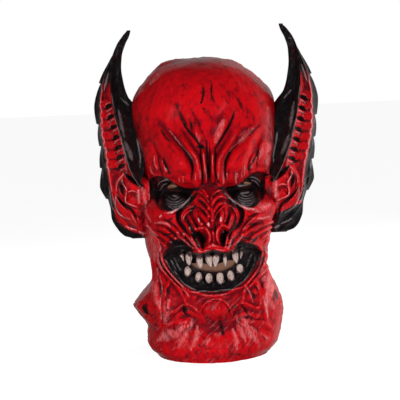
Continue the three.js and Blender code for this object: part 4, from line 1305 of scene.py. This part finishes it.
# Broad patches of painted sheen in pale pink
SHEEN_PATCHES = (
    ((-14, 302, -12.5, 296, -11, 290), 3), ((22, 316, 16, 304, 11.5, 290), 6),
    ((58, 304, 48, 296, 40, 287), 5), ((80, 330, 80, 300, 77, 262, 78, 244), 6),
    ((44, 201, 56, 200, 64, 197), 4), ((72, 284, 68, 272, 62, 262), 4), ((60, 140, 66, 110, 70, 90), 4),
    ((-70, 160, -66, 140, -58, 120), 3.5), ((28, 60, 33, 42, 38, 28), 4), ((36, 58, 44, 40, 54, 26), 6),
    ((46, 46, 56, 36, 68, 30), 5), ((-40, 56, -50, 44, -64, 34), 6), ((-30, 60, -38, 42, -50, 24), 5),
    ((-54, 46, -66, 40, -76, 34), 6), ((-24, 50, -26, 34, -34, 20), 3.5), ((22, 44, 26, 30, 26, 18), 3.5),
    ((-73, 128, -76, 110, -77, 92, -72, 78), 5), ((-8, 34, -14, 24), 2.5),
    ((-80, 180, -77, 164, -73, 146, -66, 128), 6), ((78, 186, 78, 166, 75, 146, 70, 126), 8),
    ((82, 316, 82, 290, 79, 262), 5), ((62, 76, 70, 84, 76, 70), 6),
    ((-78, 190, -84, 204, -82, 218), 2.5), ((-60, 86, -64, 72, -66, 56), 5),
    ((-18, 150, -24, 158, -32, 168), 2.5), ((20, 150, 26, 158, 34, 168), 2.5),
    ((76, 176, 74, 160, 72, 148), 3.5), ((76, 128, 74, 112, 74, 96, 74, 80), 7),
    ((-70, 368, -52, 385, -20, 392), 4), ((24, 390, 50, 384, 70, 364), 5),
    ((60, 206, 68, 203, 76, 205), 6), ((87, 240, 85, 226, 87, 212, 86, 200), 4),
    ((-87, 240, -85, 226, -86, 212), 3),
)
# Bare latex in the eyes
EYE_PATCHES = (((-53, 233.5, -48, 235, -43, 234.5), 2.3), ((45, 234.5, 49, 234.5, 53, 233.5), 1.7))

# On an ear or a blade, places are given for the right one, without the ear's lean.

# Outlines of the black foot of the ear on the left of the sheet, and of the one on the right
LEFT_PAD = [84, 166, 110, 166, 124, 178, 134, 200, 134, 222, 128, 226, 121, 210, 117, 192, 106, 182,
            86, 172]
RIGHT_PAD = [76, 166, 110, 166, 124, 178, 134, 200, 134, 222, 128, 224, 123, 207, 113, 203, 103, 198,
             92, 195, 76, 190]
# Painted highlights on an ear and its blade, and a soft painted sheen on the blade
EAR_GLEAMS = (
    ((88, 234, 90, 225, 88, 215), 1.5), ((107, 253, 112, 249, 115, 243, 117, 236), 0.8),
    ((110, 249, 109.5, 242, 105.5, 235, 104.5, 229), 0.9),
    ((104.5, 229, 106.2, 222, 105, 216.5, 98, 213, 90, 209), 0.9),
    ((104, 229.5, 98, 231, 91, 229.5), 0.7), ((119, 226, 119, 214, 115.5, 204, 109, 198, 101, 194), 0.9),
    ((126.5, 240, 125.5, 225, 123.5, 213, 119.5, 204), 0.8), ((126, 214, 129.5, 206, 130, 197), 1.2),
    ((124, 384, 128, 372, 131, 362), 1.2), ((92, 178, 88, 176, 84, 175), 1.6),
    ((108, 186, 100, 182, 94, 180), 1.0),
)
BLADE_GLEAMS = (
    ((121, 356, 118.8, 335, 116, 318, 111.4, 300, 107.6, 284, 103.4, 270, 99.6, 259, 95.5, 250, 89, 239),
     0.8),
    ((92, 302, 89.5, 291, 87.5, 281, 86, 271, 86.5, 261), 0.7), ((110, 352, 104, 346, 98, 341), 0.5),
)
BLADE_SHEEN = (((106, 294, 102, 284, 97, 271), 3.2), ((113, 336, 110, 318, 107, 302), 2.2))


def stroke(uv, places, width, soft=0.5):
    """How far a stroke of paint covers each place on the sheet, thinner at both ends."""
    line = smooth_line(places)
    cover = np.zeros(len(uv))
    some, away, share = nearest(uv, line, width * (1.1 + soft))
    taper = np.sin(np.pi * np.clip(share, 0.05, 0.95)) ** 0.4
    cover[some] = 1 - ease(1 - soft, 1 + soft, away / (width * taper))
    return cover


def strokes(uv, table, soft=0.5):
    """How far a whole table of strokes covers each place."""
    cover = np.zeros(len(uv))
    for places, width in table:
        np.maximum(cover, stroke(uv, places, width, soft), out=cover)
    return cover


def ear_place(uv):
    """Places on an ear: distance out from the middle without the lean, and height."""
    side = np.sign(uv[:, 0])
    return np.stack([side * (uv[:, 0] - ear_lean(uv[:, 1])), uv[:, 1]], axis=-1)


# Ovals on the sheet: the middle, the half width and the half height
CHEEK = (70, 210, 22, 26)
SNOUT = (0, 204, 32, 34)


def in_oval(u, v, oval, core):
    """How far places are in an oval, from 0 at its edge to 1 in its core."""
    middle_u, middle_v, ru, rv = oval
    return ease(1, core, ((u - middle_u) / ru) ** 2 + ((v - middle_v) / rv) ** 2)


class Surface:
    """What the paint has to know of each vertex of a piece."""

    def __init__(self, piece):
        places, normals, edges = layout_places(piece), normals_of(piece), edges_of(piece)
        part = part_shares(piece)
        self.ear, self.blade = part["ear"], part["blade"]
        self.tooth, self.inner = part["tooth"], part["inside"]
        self.off_ear = 1 - self.ear
        self.fine = hollowness(places, normals, edges, FINE_ROUNDS)
        self.broad = hollowness(places, normals, edges, BROAD_ROUNDS)
        self.uv = seen(places)
        self.u, self.v = self.uv.T
        self.ear_uv = ear_place(self.uv)
        self.towards = towards_viewer(piece)
        self.facing = ease(-0.05, 0.15, self.towards)
        self.front = self.facing * ease(20, -10, places[:, 1])
        self.snout = in_oval(self.u, self.v, SNOUT, 0.4)


def wash(at):
    """Thin black that runs into hollows, with less of it on the cheeks, the snout and the ears."""
    thin = np.clip(ease(0.04, 0.24, at.fine) * 0.85 + ease(0.01, 0.08, at.broad) * 0.4, 0, 1)
    thin *= 0.95 - 0.35 * ease(100, 85, at.v)
    thin *= (1 - 0.6 * at.ear) * (1 - 0.6 * in_oval(np.abs(at.u), at.v, CHEEK, 0.3))
    thin *= (1 - 0.5 * ease(243, 262, at.v) * at.off_ear) * (1 - 0.45 * at.snout)
    return thin * ease(-0.3, 0.1, at.towards)


INK_STRENGTH = 0.9
SMUDGE_STRENGTH = 0.5


def black_of_face(uv):
    """Black strokes, hazes and areas, and all that is sunk in the sockets and the mouth."""
    black = strokes(uv, [(places, ink) for places, _, _, ink in CREASES])
    np.maximum(black, strokes(uv, INK, 0.7), out=black)
    black *= INK_STRENGTH
    np.maximum(black, SMUDGE_STRENGTH * strokes(uv, SMUDGES, 1.0), out=black)
    for side in (1, -1):
        np.maximum(black, ease(-1.4, 0.8, inside(uv * (side, 1), SOCKET)), out=black)
    np.maximum(black, ease(-3.5, 0.5, inside(uv, MOUTH)), out=black)
    for area in BLACK_AREAS:
        np.maximum(black, ease(-5, 3.5, inside(uv, area)), out=black)
    return black


HOLLOW_STRENGTH = 0.5


def black_of_ears(at):
    """A black fin, tip and foot, and black in the grooves and hollows of an ear."""
    u, v = at.ear_uv.T
    band = (u - ear_middle(v)) / np.maximum(ear_band(v) - ear_middle(v), 1)
    fin = ease(0.98, 1.12, band) * ease(203, 214, v)
    top = ease(352, 392, v + 8 * np.sin(band * 3))
    notch = ease(0, -0.3, band) * ease(330, 338, v)
    pad = ease(-2.5, 2, np.where(at.u < 0, inside(at.ear_uv, LEFT_PAD), inside(at.ear_uv, RIGHT_PAD)))
    lines = strokes(at.ear_uv, [(places, ink) for places, _, _, ink in (*EAR_GROOVES, *rib_grooves())])
    hollows = HOLLOW_STRENGTH * ease(0.08, 0.3, at.fine)
    return np.max([fin, top, notch, pad, lines * at.facing, hollows * at.facing], axis=0)


def black_paint(at):
    """All the black on the mask."""
    thin = wash(at)
    on_face = np.maximum(black_of_face(at.uv) * at.front, thin)
    on_ears = np.maximum(black_of_ears(at), thin)
    return np.maximum(on_face * at.off_ear + on_ears * at.ear, at.blade)


# Strength of each kind of painted highlight and sheen
SOFT_GLEAM = 0.6
# Painted sheen patches, next
SHEEN_PATCH = 0.5
WRINKLE_HIGHLIGHT = 0.8
CREST_HIGHLIGHT = 0.62
EAR_GLEAM = 0.8
RIB_GLEAM = 0.72
SHEEN = 0.6
# A faint painted sheen over the ears and blades
EAR_SHEEN = 0.15
# Painted glints in grey over the black of the mouth
GUM_GLINTS = 0.17


def light_of_ears(place):
    """Painted pink highlights over the crests of an ear."""
    crests = [(line, 0.9) for line in rib_lines(4.6, 7)]
    crests += [(line[:4], 0.9) for line, *_ in fin_folds()]
    heights = np.arange(232, 366, 4.0)
    crests.append((np.stack([band_edge(heights), heights], axis=-1).ravel(), 1.1))
    return np.maximum(EAR_GLEAM * strokes(place, EAR_GLEAMS), RIB_GLEAM * strokes(place, crests))


def light_of_face(at, black):
    """Painted pink highlight lines, and patches of painted sheen where no black is."""
    lines = np.maximum(strokes(at.uv, GLEAMS), SOFT_GLEAM * strokes(at.uv, SOFT_GLEAMS)) * at.off_ear
    patches = SHEEN_PATCH * strokes(at.uv, SHEEN_PATCHES, 1.0) * (1 - black)
    return np.maximum(lines, patches) * (1 - at.blade) * at.front * ease(0.05, 0.3, at.towards)


def light_of_crests(at):
    """Painted pink highlight on all that stands out sharply, and less of it in the sockets and on the
    snout.
    """
    to_right = np.where(at.uv[:, :1] < 0, (-1, 1), (1, 1))
    in_socket = ease(0, 3, inside(at.uv * to_right, SOCKET))
    return CREST_HIGHLIGHT * ease(0.09, 0.32, -at.fine) * (1 - 0.5 * in_socket) * (1 - 0.35 * at.snout) * at.front


def light_paint(at, black):
    """All the painted highlights and sheen, pink over red and grey over black."""
    # Painted highlights in grey along the wrinkles of the eyes.
    wrinkles = [(line, 0.6) for side in (-1, 1) for line in eye_wrinkles(side)]
    sheen = np.maximum(strokes(at.ear_uv, BLADE_GLEAMS, 0.9), SHEEN * strokes(at.ear_uv, BLADE_SHEEN, 1.0))
    return np.max([light_of_face(at, black),
                   light_of_crests(at),
                   light_of_ears(at.ear_uv) * at.ear * ease(0, 0.35, at.towards),
                   sheen * at.blade * at.facing,
                   WRINKLE_HIGHLIGHT * strokes(at.uv, wrinkles) * at.off_ear * at.front,
                   EAR_SHEEN * np.maximum(at.ear, at.blade) * at.facing,
                   GUM_GLINTS * ease(-5, 1, inside(at.uv, MOUTH)) * at.front], axis=0)


def wear_and_sheen_paint(at):
    """Streaks of wear on the neck, and streaks of painted sheen on the right of the face as seen from the
    front.
    """
    return np.maximum(ease(105, 70, at.v), 0.5 * ease(60, 90, at.u) * ease(0.5, 0, at.ear))


BARE_STRENGTH = 0.8


def paint(piece):
    """Writes the share of each paint at each vertex, for the material to read."""
    at = Surface(piece)
    black = black_paint(at)
    shares = {
        "black": black * (1 - at.tooth),
        # The hollow share is painted shade: deeper red in the broad hollows, and darker teeth near the
        # gums.
        "hollow": ease(-0.01, 0.05, at.broad),
        # The light share is painted highlights and sheen: pink over red, grey over black.
        "light": light_paint(at, black),
        # Streaks of wear on the neck, and of painted sheen on the right of the face.
        "wear_and_sheen": wear_and_sheen_paint(at),
        "ivory": at.tooth,
        "bare": np.maximum(at.inner, BARE_STRENGTH * strokes(at.uv, EYE_PATCHES) * at.front),
    }
    for name, values in shares.items():
        attribute = piece.data.attributes.new(name, "FLOAT", "POINT")
        attribute.data.foreach_set("value", values.astype(np.float32))


# Finish

class Field:
    """A number that changes over the surface, which Python's operators work on."""

    def __init__(self, maker, socket):
        self.maker = maker
        self.socket = socket

    def math(self, operation, a, b):
        return self.maker.node("ShaderNodeMath", {"operation": operation}, {0: a, 1: b})

    def __add__(self, other):
        return self.math("ADD", self, other)

    def __sub__(self, other):
        return self.math("SUBTRACT", self, other)

    def __rsub__(self, other):
        return self.math("SUBTRACT", other, self)

    def __mul__(self, other):
        return self.math("MULTIPLY", self, other)

    __radd__ = __add__
    __rmul__ = __mul__

    def ease(self, start, end):
        """A smooth step from 0 to 1."""
        return self.maker.node("ShaderNodeMapRange", {"interpolation_type": "SMOOTHSTEP"},
                               {"Value": self, "From Min": start, "From Max": end})


class Finish:
    """A material whose nodes are made one by one."""

    def __init__(self, name):
        self.material = bpy.data.materials.new(name)
        self.material.use_nodes = True
        self.tree = self.material.node_tree
        self.shader = self.tree.nodes["Principled BSDF"]
        self.places = self.node("ShaderNodeTexCoord", {}, {}, "Object")

    def node(self, kind, settings, sockets, output=0):
        made = self.tree.nodes.new(kind)
        for name, value in settings.items():
            setattr(made, name, value)
        for key, value in sockets.items():
            self.put(made.inputs[key], value)
        return Field(self, made.outputs[output])

    def put(self, socket, value):
        """Sets a socket to a number or a colour, or links it to what changes over the surface."""
        if isinstance(value, Field):
            self.tree.links.new(value.socket, socket)
        else:
            socket.default_value = value

    def share(self, name):
        """One of the shares that the paint wrote at each vertex."""
        return self.node("ShaderNodeAttribute", {"attribute_name": name}, {}, "Fac")

    def noise(self, stretch, detail=3.0, rough=0.5, seed=0.0, turn=0.0):
        """Noise from 0 to 1, by its number of lumps in a metre along each axis."""
        turned = self.node("ShaderNodeVectorRotate", {"rotation_type": "Y_AXIS"},
                           {"Vector": self.places, "Angle": turn})
        turned = self.node("ShaderNodeMapping", {}, {"Vector": turned, "Location": (seed, seed, seed),
                                                     "Scale": stretch})
        return self.node("ShaderNodeTexNoise", {}, {"Vector": turned, "Scale": 1.0, "Detail": detail,
                                                    "Roughness": rough}, "Fac")

    def mix(self, share, a, b):
        return self.node("ShaderNodeMix", {"data_type": "RGBA"}, {0: share, 6: a, 7: b}, 2)


RED = (0.54, 0.003, 0.007, 1)
# DEEP_RED is a darker tone of the red, and also painted shade in the hollows.
DEEP_RED = (0.16, 0.003, 0.008, 1)
BLACK = (0.0045, 0.0042, 0.005, 1)
# PINK and PALE are painted highlights and sheen over red, and GREY over black; PINK also streaks the worn
# neck.
PINK = (0.66, 0.14, 0.15, 1)
PALE = (0.74, 0.40, 0.42, 1)
GREY = (0.20, 0.17, 0.175, 1)
IVORY = (0.50, 0.38, 0.34, 1)
# The darker ivory is stain, and painted shade near the gums.
STAINED_SHADED_IVORY = (0.10, 0.055, 0.05, 1)
BARE = (0.36, 0.17, 0.10, 1)

# Noises of the paint: lumps in a metre along each axis, detail, roughness and seed
GRAIN = ((900, 900, 900), 2.0)
BLOTCH = ((95, 95, 80), 4.0, 0.6, 3.0)
STREAK = ((330, 330, 42), 3.0, 0.6, 7.0)
SPECKLE = ((420, 420, 420), 2.0, 0.5, 23.0)
MOTTLE = ((190, 190, 80), 4.0, 0.6, 31.0)
BRUSHED = ((55, 55, 420), 3.0, 0.6, 11.0, 0.75)  # turned by an angle too
WORN = ((150, 150, 110), 4.0, 0.65, 17.0)
VEINS = ((480, 480, 150), 4.0, 0.6, 41.0)
STAIN = ((620, 620, 170), 3.0, 0.6, 5.0)
DIMPLES = ((260, 260, 200), 3.0)
BUMP_DISTANCE = 0.0006


def painted_latex():
    """Glossy paint on latex with painted shade and highlights, mixed from the shares at each vertex, noisy
    at their edges.
    """
    f = Finish("painted_latex")
    black, hollow, light = f.share("black"), f.share("hollow"), f.share("light")
    ivory, bare = f.share("ivory"), f.share("bare")
    grain, blotch, streak, speckle = (f.noise(*kind) for kind in (GRAIN, BLOTCH, STREAK, SPECKLE))
    torn = (blotch - 0.5) * 0.4 + ((streak - 0.5) * 0.6 + (speckle - 0.5) * 2.2 * (1.5 - black)) * black
    paint_edge = (black + torn).ease(0.24, 0.88)
    # Painted shade: the red turns deep red where the hollow share is high, over blotches of deeper tone.
    red = f.mix((blotch + hollow * 0.35).ease(0.45, 0.85), RED, DEEP_RED)
    red = f.mix(f.noise(*MOTTLE).ease(0.50, 0.70) * 0.5, red, DEEP_RED)
    scratch = (streak + blotch * 0.6).ease(0.93, 1.01)
    red = f.mix(scratch * 0.6, red, BLACK)
    # Darker and pink streaks: wear on the neck, and painted sheen on the right of the face as seen from the
    # front.
    wear_and_sheen = f.share("wear_and_sheen")
    red = f.mix(f.noise(*WORN).ease(0.50, 0.68) * 0.6 * wear_and_sheen, red, DEEP_RED)
    red = f.mix(f.noise(*BRUSHED).ease(0.50, 0.74) * blotch.ease(0.38, 0.6) * wear_and_sheen * 0.5, red, PINK)
    veins = f.noise(*VEINS) - 0.5
    # Painted highlights and sheen where the light share is high, broken up by veins and blotches.
    lit = (light + (veins * 5.0 + (blotch - 0.5) * 2.0) * light * (1.1 - light)).ease(0.12, 0.85)
    highlight_pink = f.mix((light + (speckle - 0.5)).ease(0.55, 1.1), PINK, PALE)
    colour = f.mix(paint_edge, f.mix(lit, red, highlight_pink), f.mix(lit, BLACK, GREY))
    # Teeth darken with a noisy stain, and with painted shade near the gums where the hollow share is high.
    stain_and_shade = (hollow + 0.16 + (f.noise(*STAIN) - 0.5) * 2.6).ease(0.0, 0.85)
    colour = f.mix(ivory, colour, f.mix(stain_and_shade, IVORY, STAINED_SHADED_IVORY))
    colour = f.mix(bare, colour, BARE)
    f.put(f.shader.inputs["Base Color"], colour)
    f.put(f.shader.inputs["Roughness"], 0.13 + 0.1 * blotch + 0.12 * paint_edge + 0.4 * bare)
    f.shader.inputs["Specular IOR Level"].default_value = 0.4
    height = 0.55 * grain + 0.9 * f.noise(*DIMPLES) + 0.5 * streak
    bump = f.node("ShaderNodeBump", {}, {"Strength": 0.5, "Distance": BUMP_DISTANCE, "Height": height})
    f.put(f.shader.inputs["Normal"], bump)
    return f.material


paint(mask)
mask.data.polygons.foreach_set("material_index", np.zeros(len(mask.data.polygons), np.int32))
mask.data.materials.clear()
mask.data.materials.append(painted_latex())
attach(mask, "root")
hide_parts("demon_mask")


# Camera, floor and lights

def place_camera():
    """A camera before the face, where the photograph was taken."""
    data = bpy.data.cameras.new("camera")
    camera = bpy.data.objects.new("camera", data)
    bpy.context.collection.objects.link(camera)
    stand = VIEWER + (0, SHIFT, 0)
    target = np.array([SHEET_MIDDLE[0], SHIFT, SHEET_MIDDLE[1] + SHEET_FOOT])
    forward = (target - stand) / np.linalg.norm(target - stand)
    level_right = np.cross(forward, (0, 0, 1))
    level_right /= np.linalg.norm(level_right)
    level_up = np.cross(level_right, forward)
    right = math.cos(ROLL) * level_right - math.sin(ROLL) * level_up
    up = math.sin(ROLL) * level_right + math.cos(ROLL) * level_up
    turned = np.eye(4)
    turned[:3, 0], turned[:3, 1], turned[:3, 2], turned[:3, 3] = right, up, -forward, stand * MM
    camera.matrix_world = Matrix(turned)
    data.sensor_width = 36
    data.lens = data.sensor_width * np.linalg.norm(target - stand) / SHEET_SHOWN
    data.clip_end = 20
    bpy.context.scene.camera = camera


def softbox(name, place, target, size, power, mirrored=True):
    """A lamp that the camera doesn't see, and that the gloss of the mask mirrors or not."""
    data = bpy.data.lights.new(name, "AREA")
    data.shape = "RECTANGLE"
    data.size, data.size_y = size
    data.energy = power
    lamp = bpy.data.objects.new(name, data)
    lamp.visible_glossy = mirrored
    lamp.visible_camera = False
    bpy.context.collection.objects.link(lamp)
    forward = np.array(target, float) - place
    forward /= np.linalg.norm(forward)
    right = np.cross(forward, (0, 0, 1))
    right /= np.linalg.norm(right)
    turned = np.eye(4)
    turned[:3, 0], turned[:3, 1], turned[:3, 2] = right, np.cross(right, forward), -forward
    turned[:3, 3] = place
    lamp.matrix_world = Matrix(turned)


def smooth_step(tree, value, start, end, low, high):
    """A number that goes smoothly from low to high while a value goes from start to end."""
    step = tree.nodes.new("ShaderNodeMapRange")
    step.interpolation_type = "SMOOTHSTEP"
    tree.links.new(value, step.inputs["Value"])
    for name, number in (("From Min", start), ("From Max", end), ("To Min", low), ("To Max", high)):
        step.inputs[name].default_value = number
    return step.outputs[0]


def shown_to_camera(tree, seen_value, other):
    """A number for what the camera sees by itself, and another number or socket for all other light."""
    rays = tree.nodes.new("ShaderNodeLightPath")
    mix = tree.nodes.new("ShaderNodeMix")
    tree.links.new(rays.outputs["Is Camera Ray"], mix.inputs[0])
    mix.inputs[3].default_value = seen_value
    if isinstance(other, float):
        mix.inputs[2].default_value = other
    else:
        tree.links.new(other, mix.inputs[2])
    return mix.outputs[0]


GLOW_SIDE = (0.36, 0.93, 0)
GLOW = (0.45, 0.95, 0.03, 0.35)  # where the room grows bright, and how dim and how bright it is


def white_room():
    """A room that is bright behind the mask, dim behind the camera, and shows white to it from anywhere."""
    world = bpy.data.worlds.new("studio")
    world.use_nodes = True
    tree = world.node_tree
    way = tree.nodes.new("ShaderNodeTexCoord")
    towards = tree.nodes.new("ShaderNodeVectorMath")
    towards.operation = "DOT_PRODUCT"
    tree.links.new(way.outputs["Generated"], towards.inputs[0])
    towards.inputs[1].default_value = GLOW_SIDE
    glow = smooth_step(tree, towards.outputs["Value"], *GLOW)
    background = tree.nodes["Background"]
    background.inputs["Color"].default_value = (1, 1, 1, 1)
    tree.links.new(shown_to_camera(tree, 1, glow), background.inputs["Strength"])
    bpy.context.scene.world = world


FLOOR_SIZE = 30
PAPER = (0.25, 0.25, 0.25, 1)
PAPER_SHOWN = 0.93
PAPER_GLOW = 0.12


def paper_floor():
    """White paper that glows for the camera and keeps a faint shadow."""
    bpy.ops.object.select_all(action="DESELECT")
    bpy.ops.mesh.primitive_plane_add(size=FLOOR_SIZE, location=(0, 0, 0))
    floor = bpy.context.object
    floor.name = "floor"
    floor.visible_glossy = False
    paper = bpy.data.materials.new("pale_paper")
    paper.use_nodes = True
    tree = paper.node_tree
    shader = tree.nodes["Principled BSDF"]
    shader.inputs["Base Color"].default_value = PAPER
    shader.inputs["Roughness"].default_value = 1
    shader.inputs["Specular IOR Level"].default_value = 0
    shader.inputs["Emission Color"].default_value = (1, 1, 1, 1)
    tree.links.new(shown_to_camera(tree, PAPER_SHOWN, PAPER_GLOW), shader.inputs["Emission Strength"])
    floor.data.materials.append(paper)


def studio():
    """Light from both sides, soft on the face, with two small lamps for the glints and the mouth."""
    paper_floor()
    white_room()
    bpy.context.scene.view_settings.view_transform = "Standard"
    middle = (0, 0, 0.2)
    softbox("key_box", (0.6, -1.45, 0.3), middle, (0.5, 0.5), 15, mirrored=False)
    softbox("left_fill", (-0.8, -1.3, 0.12), middle, (0.6, 0.8), 20, mirrored=False)
    softbox("left_edge", (-0.9, 0.9, 0.35), middle, (0.4, 1.3), 4, mirrored=False)
    softbox("right_edge", (1.1, 0.6, 0.3), middle, (0.5, 1.3), 34, mirrored=False)
    softbox("glint_box", (-0.15, -1.6, 0.1), middle, (0.09, 0.35), 0.26)
    softbox("mouth_glow", (0, 0.02, 0.11), (0, 0.1, 0.105), (0.04, 0.03), 0.022)


place_camera()
studio()
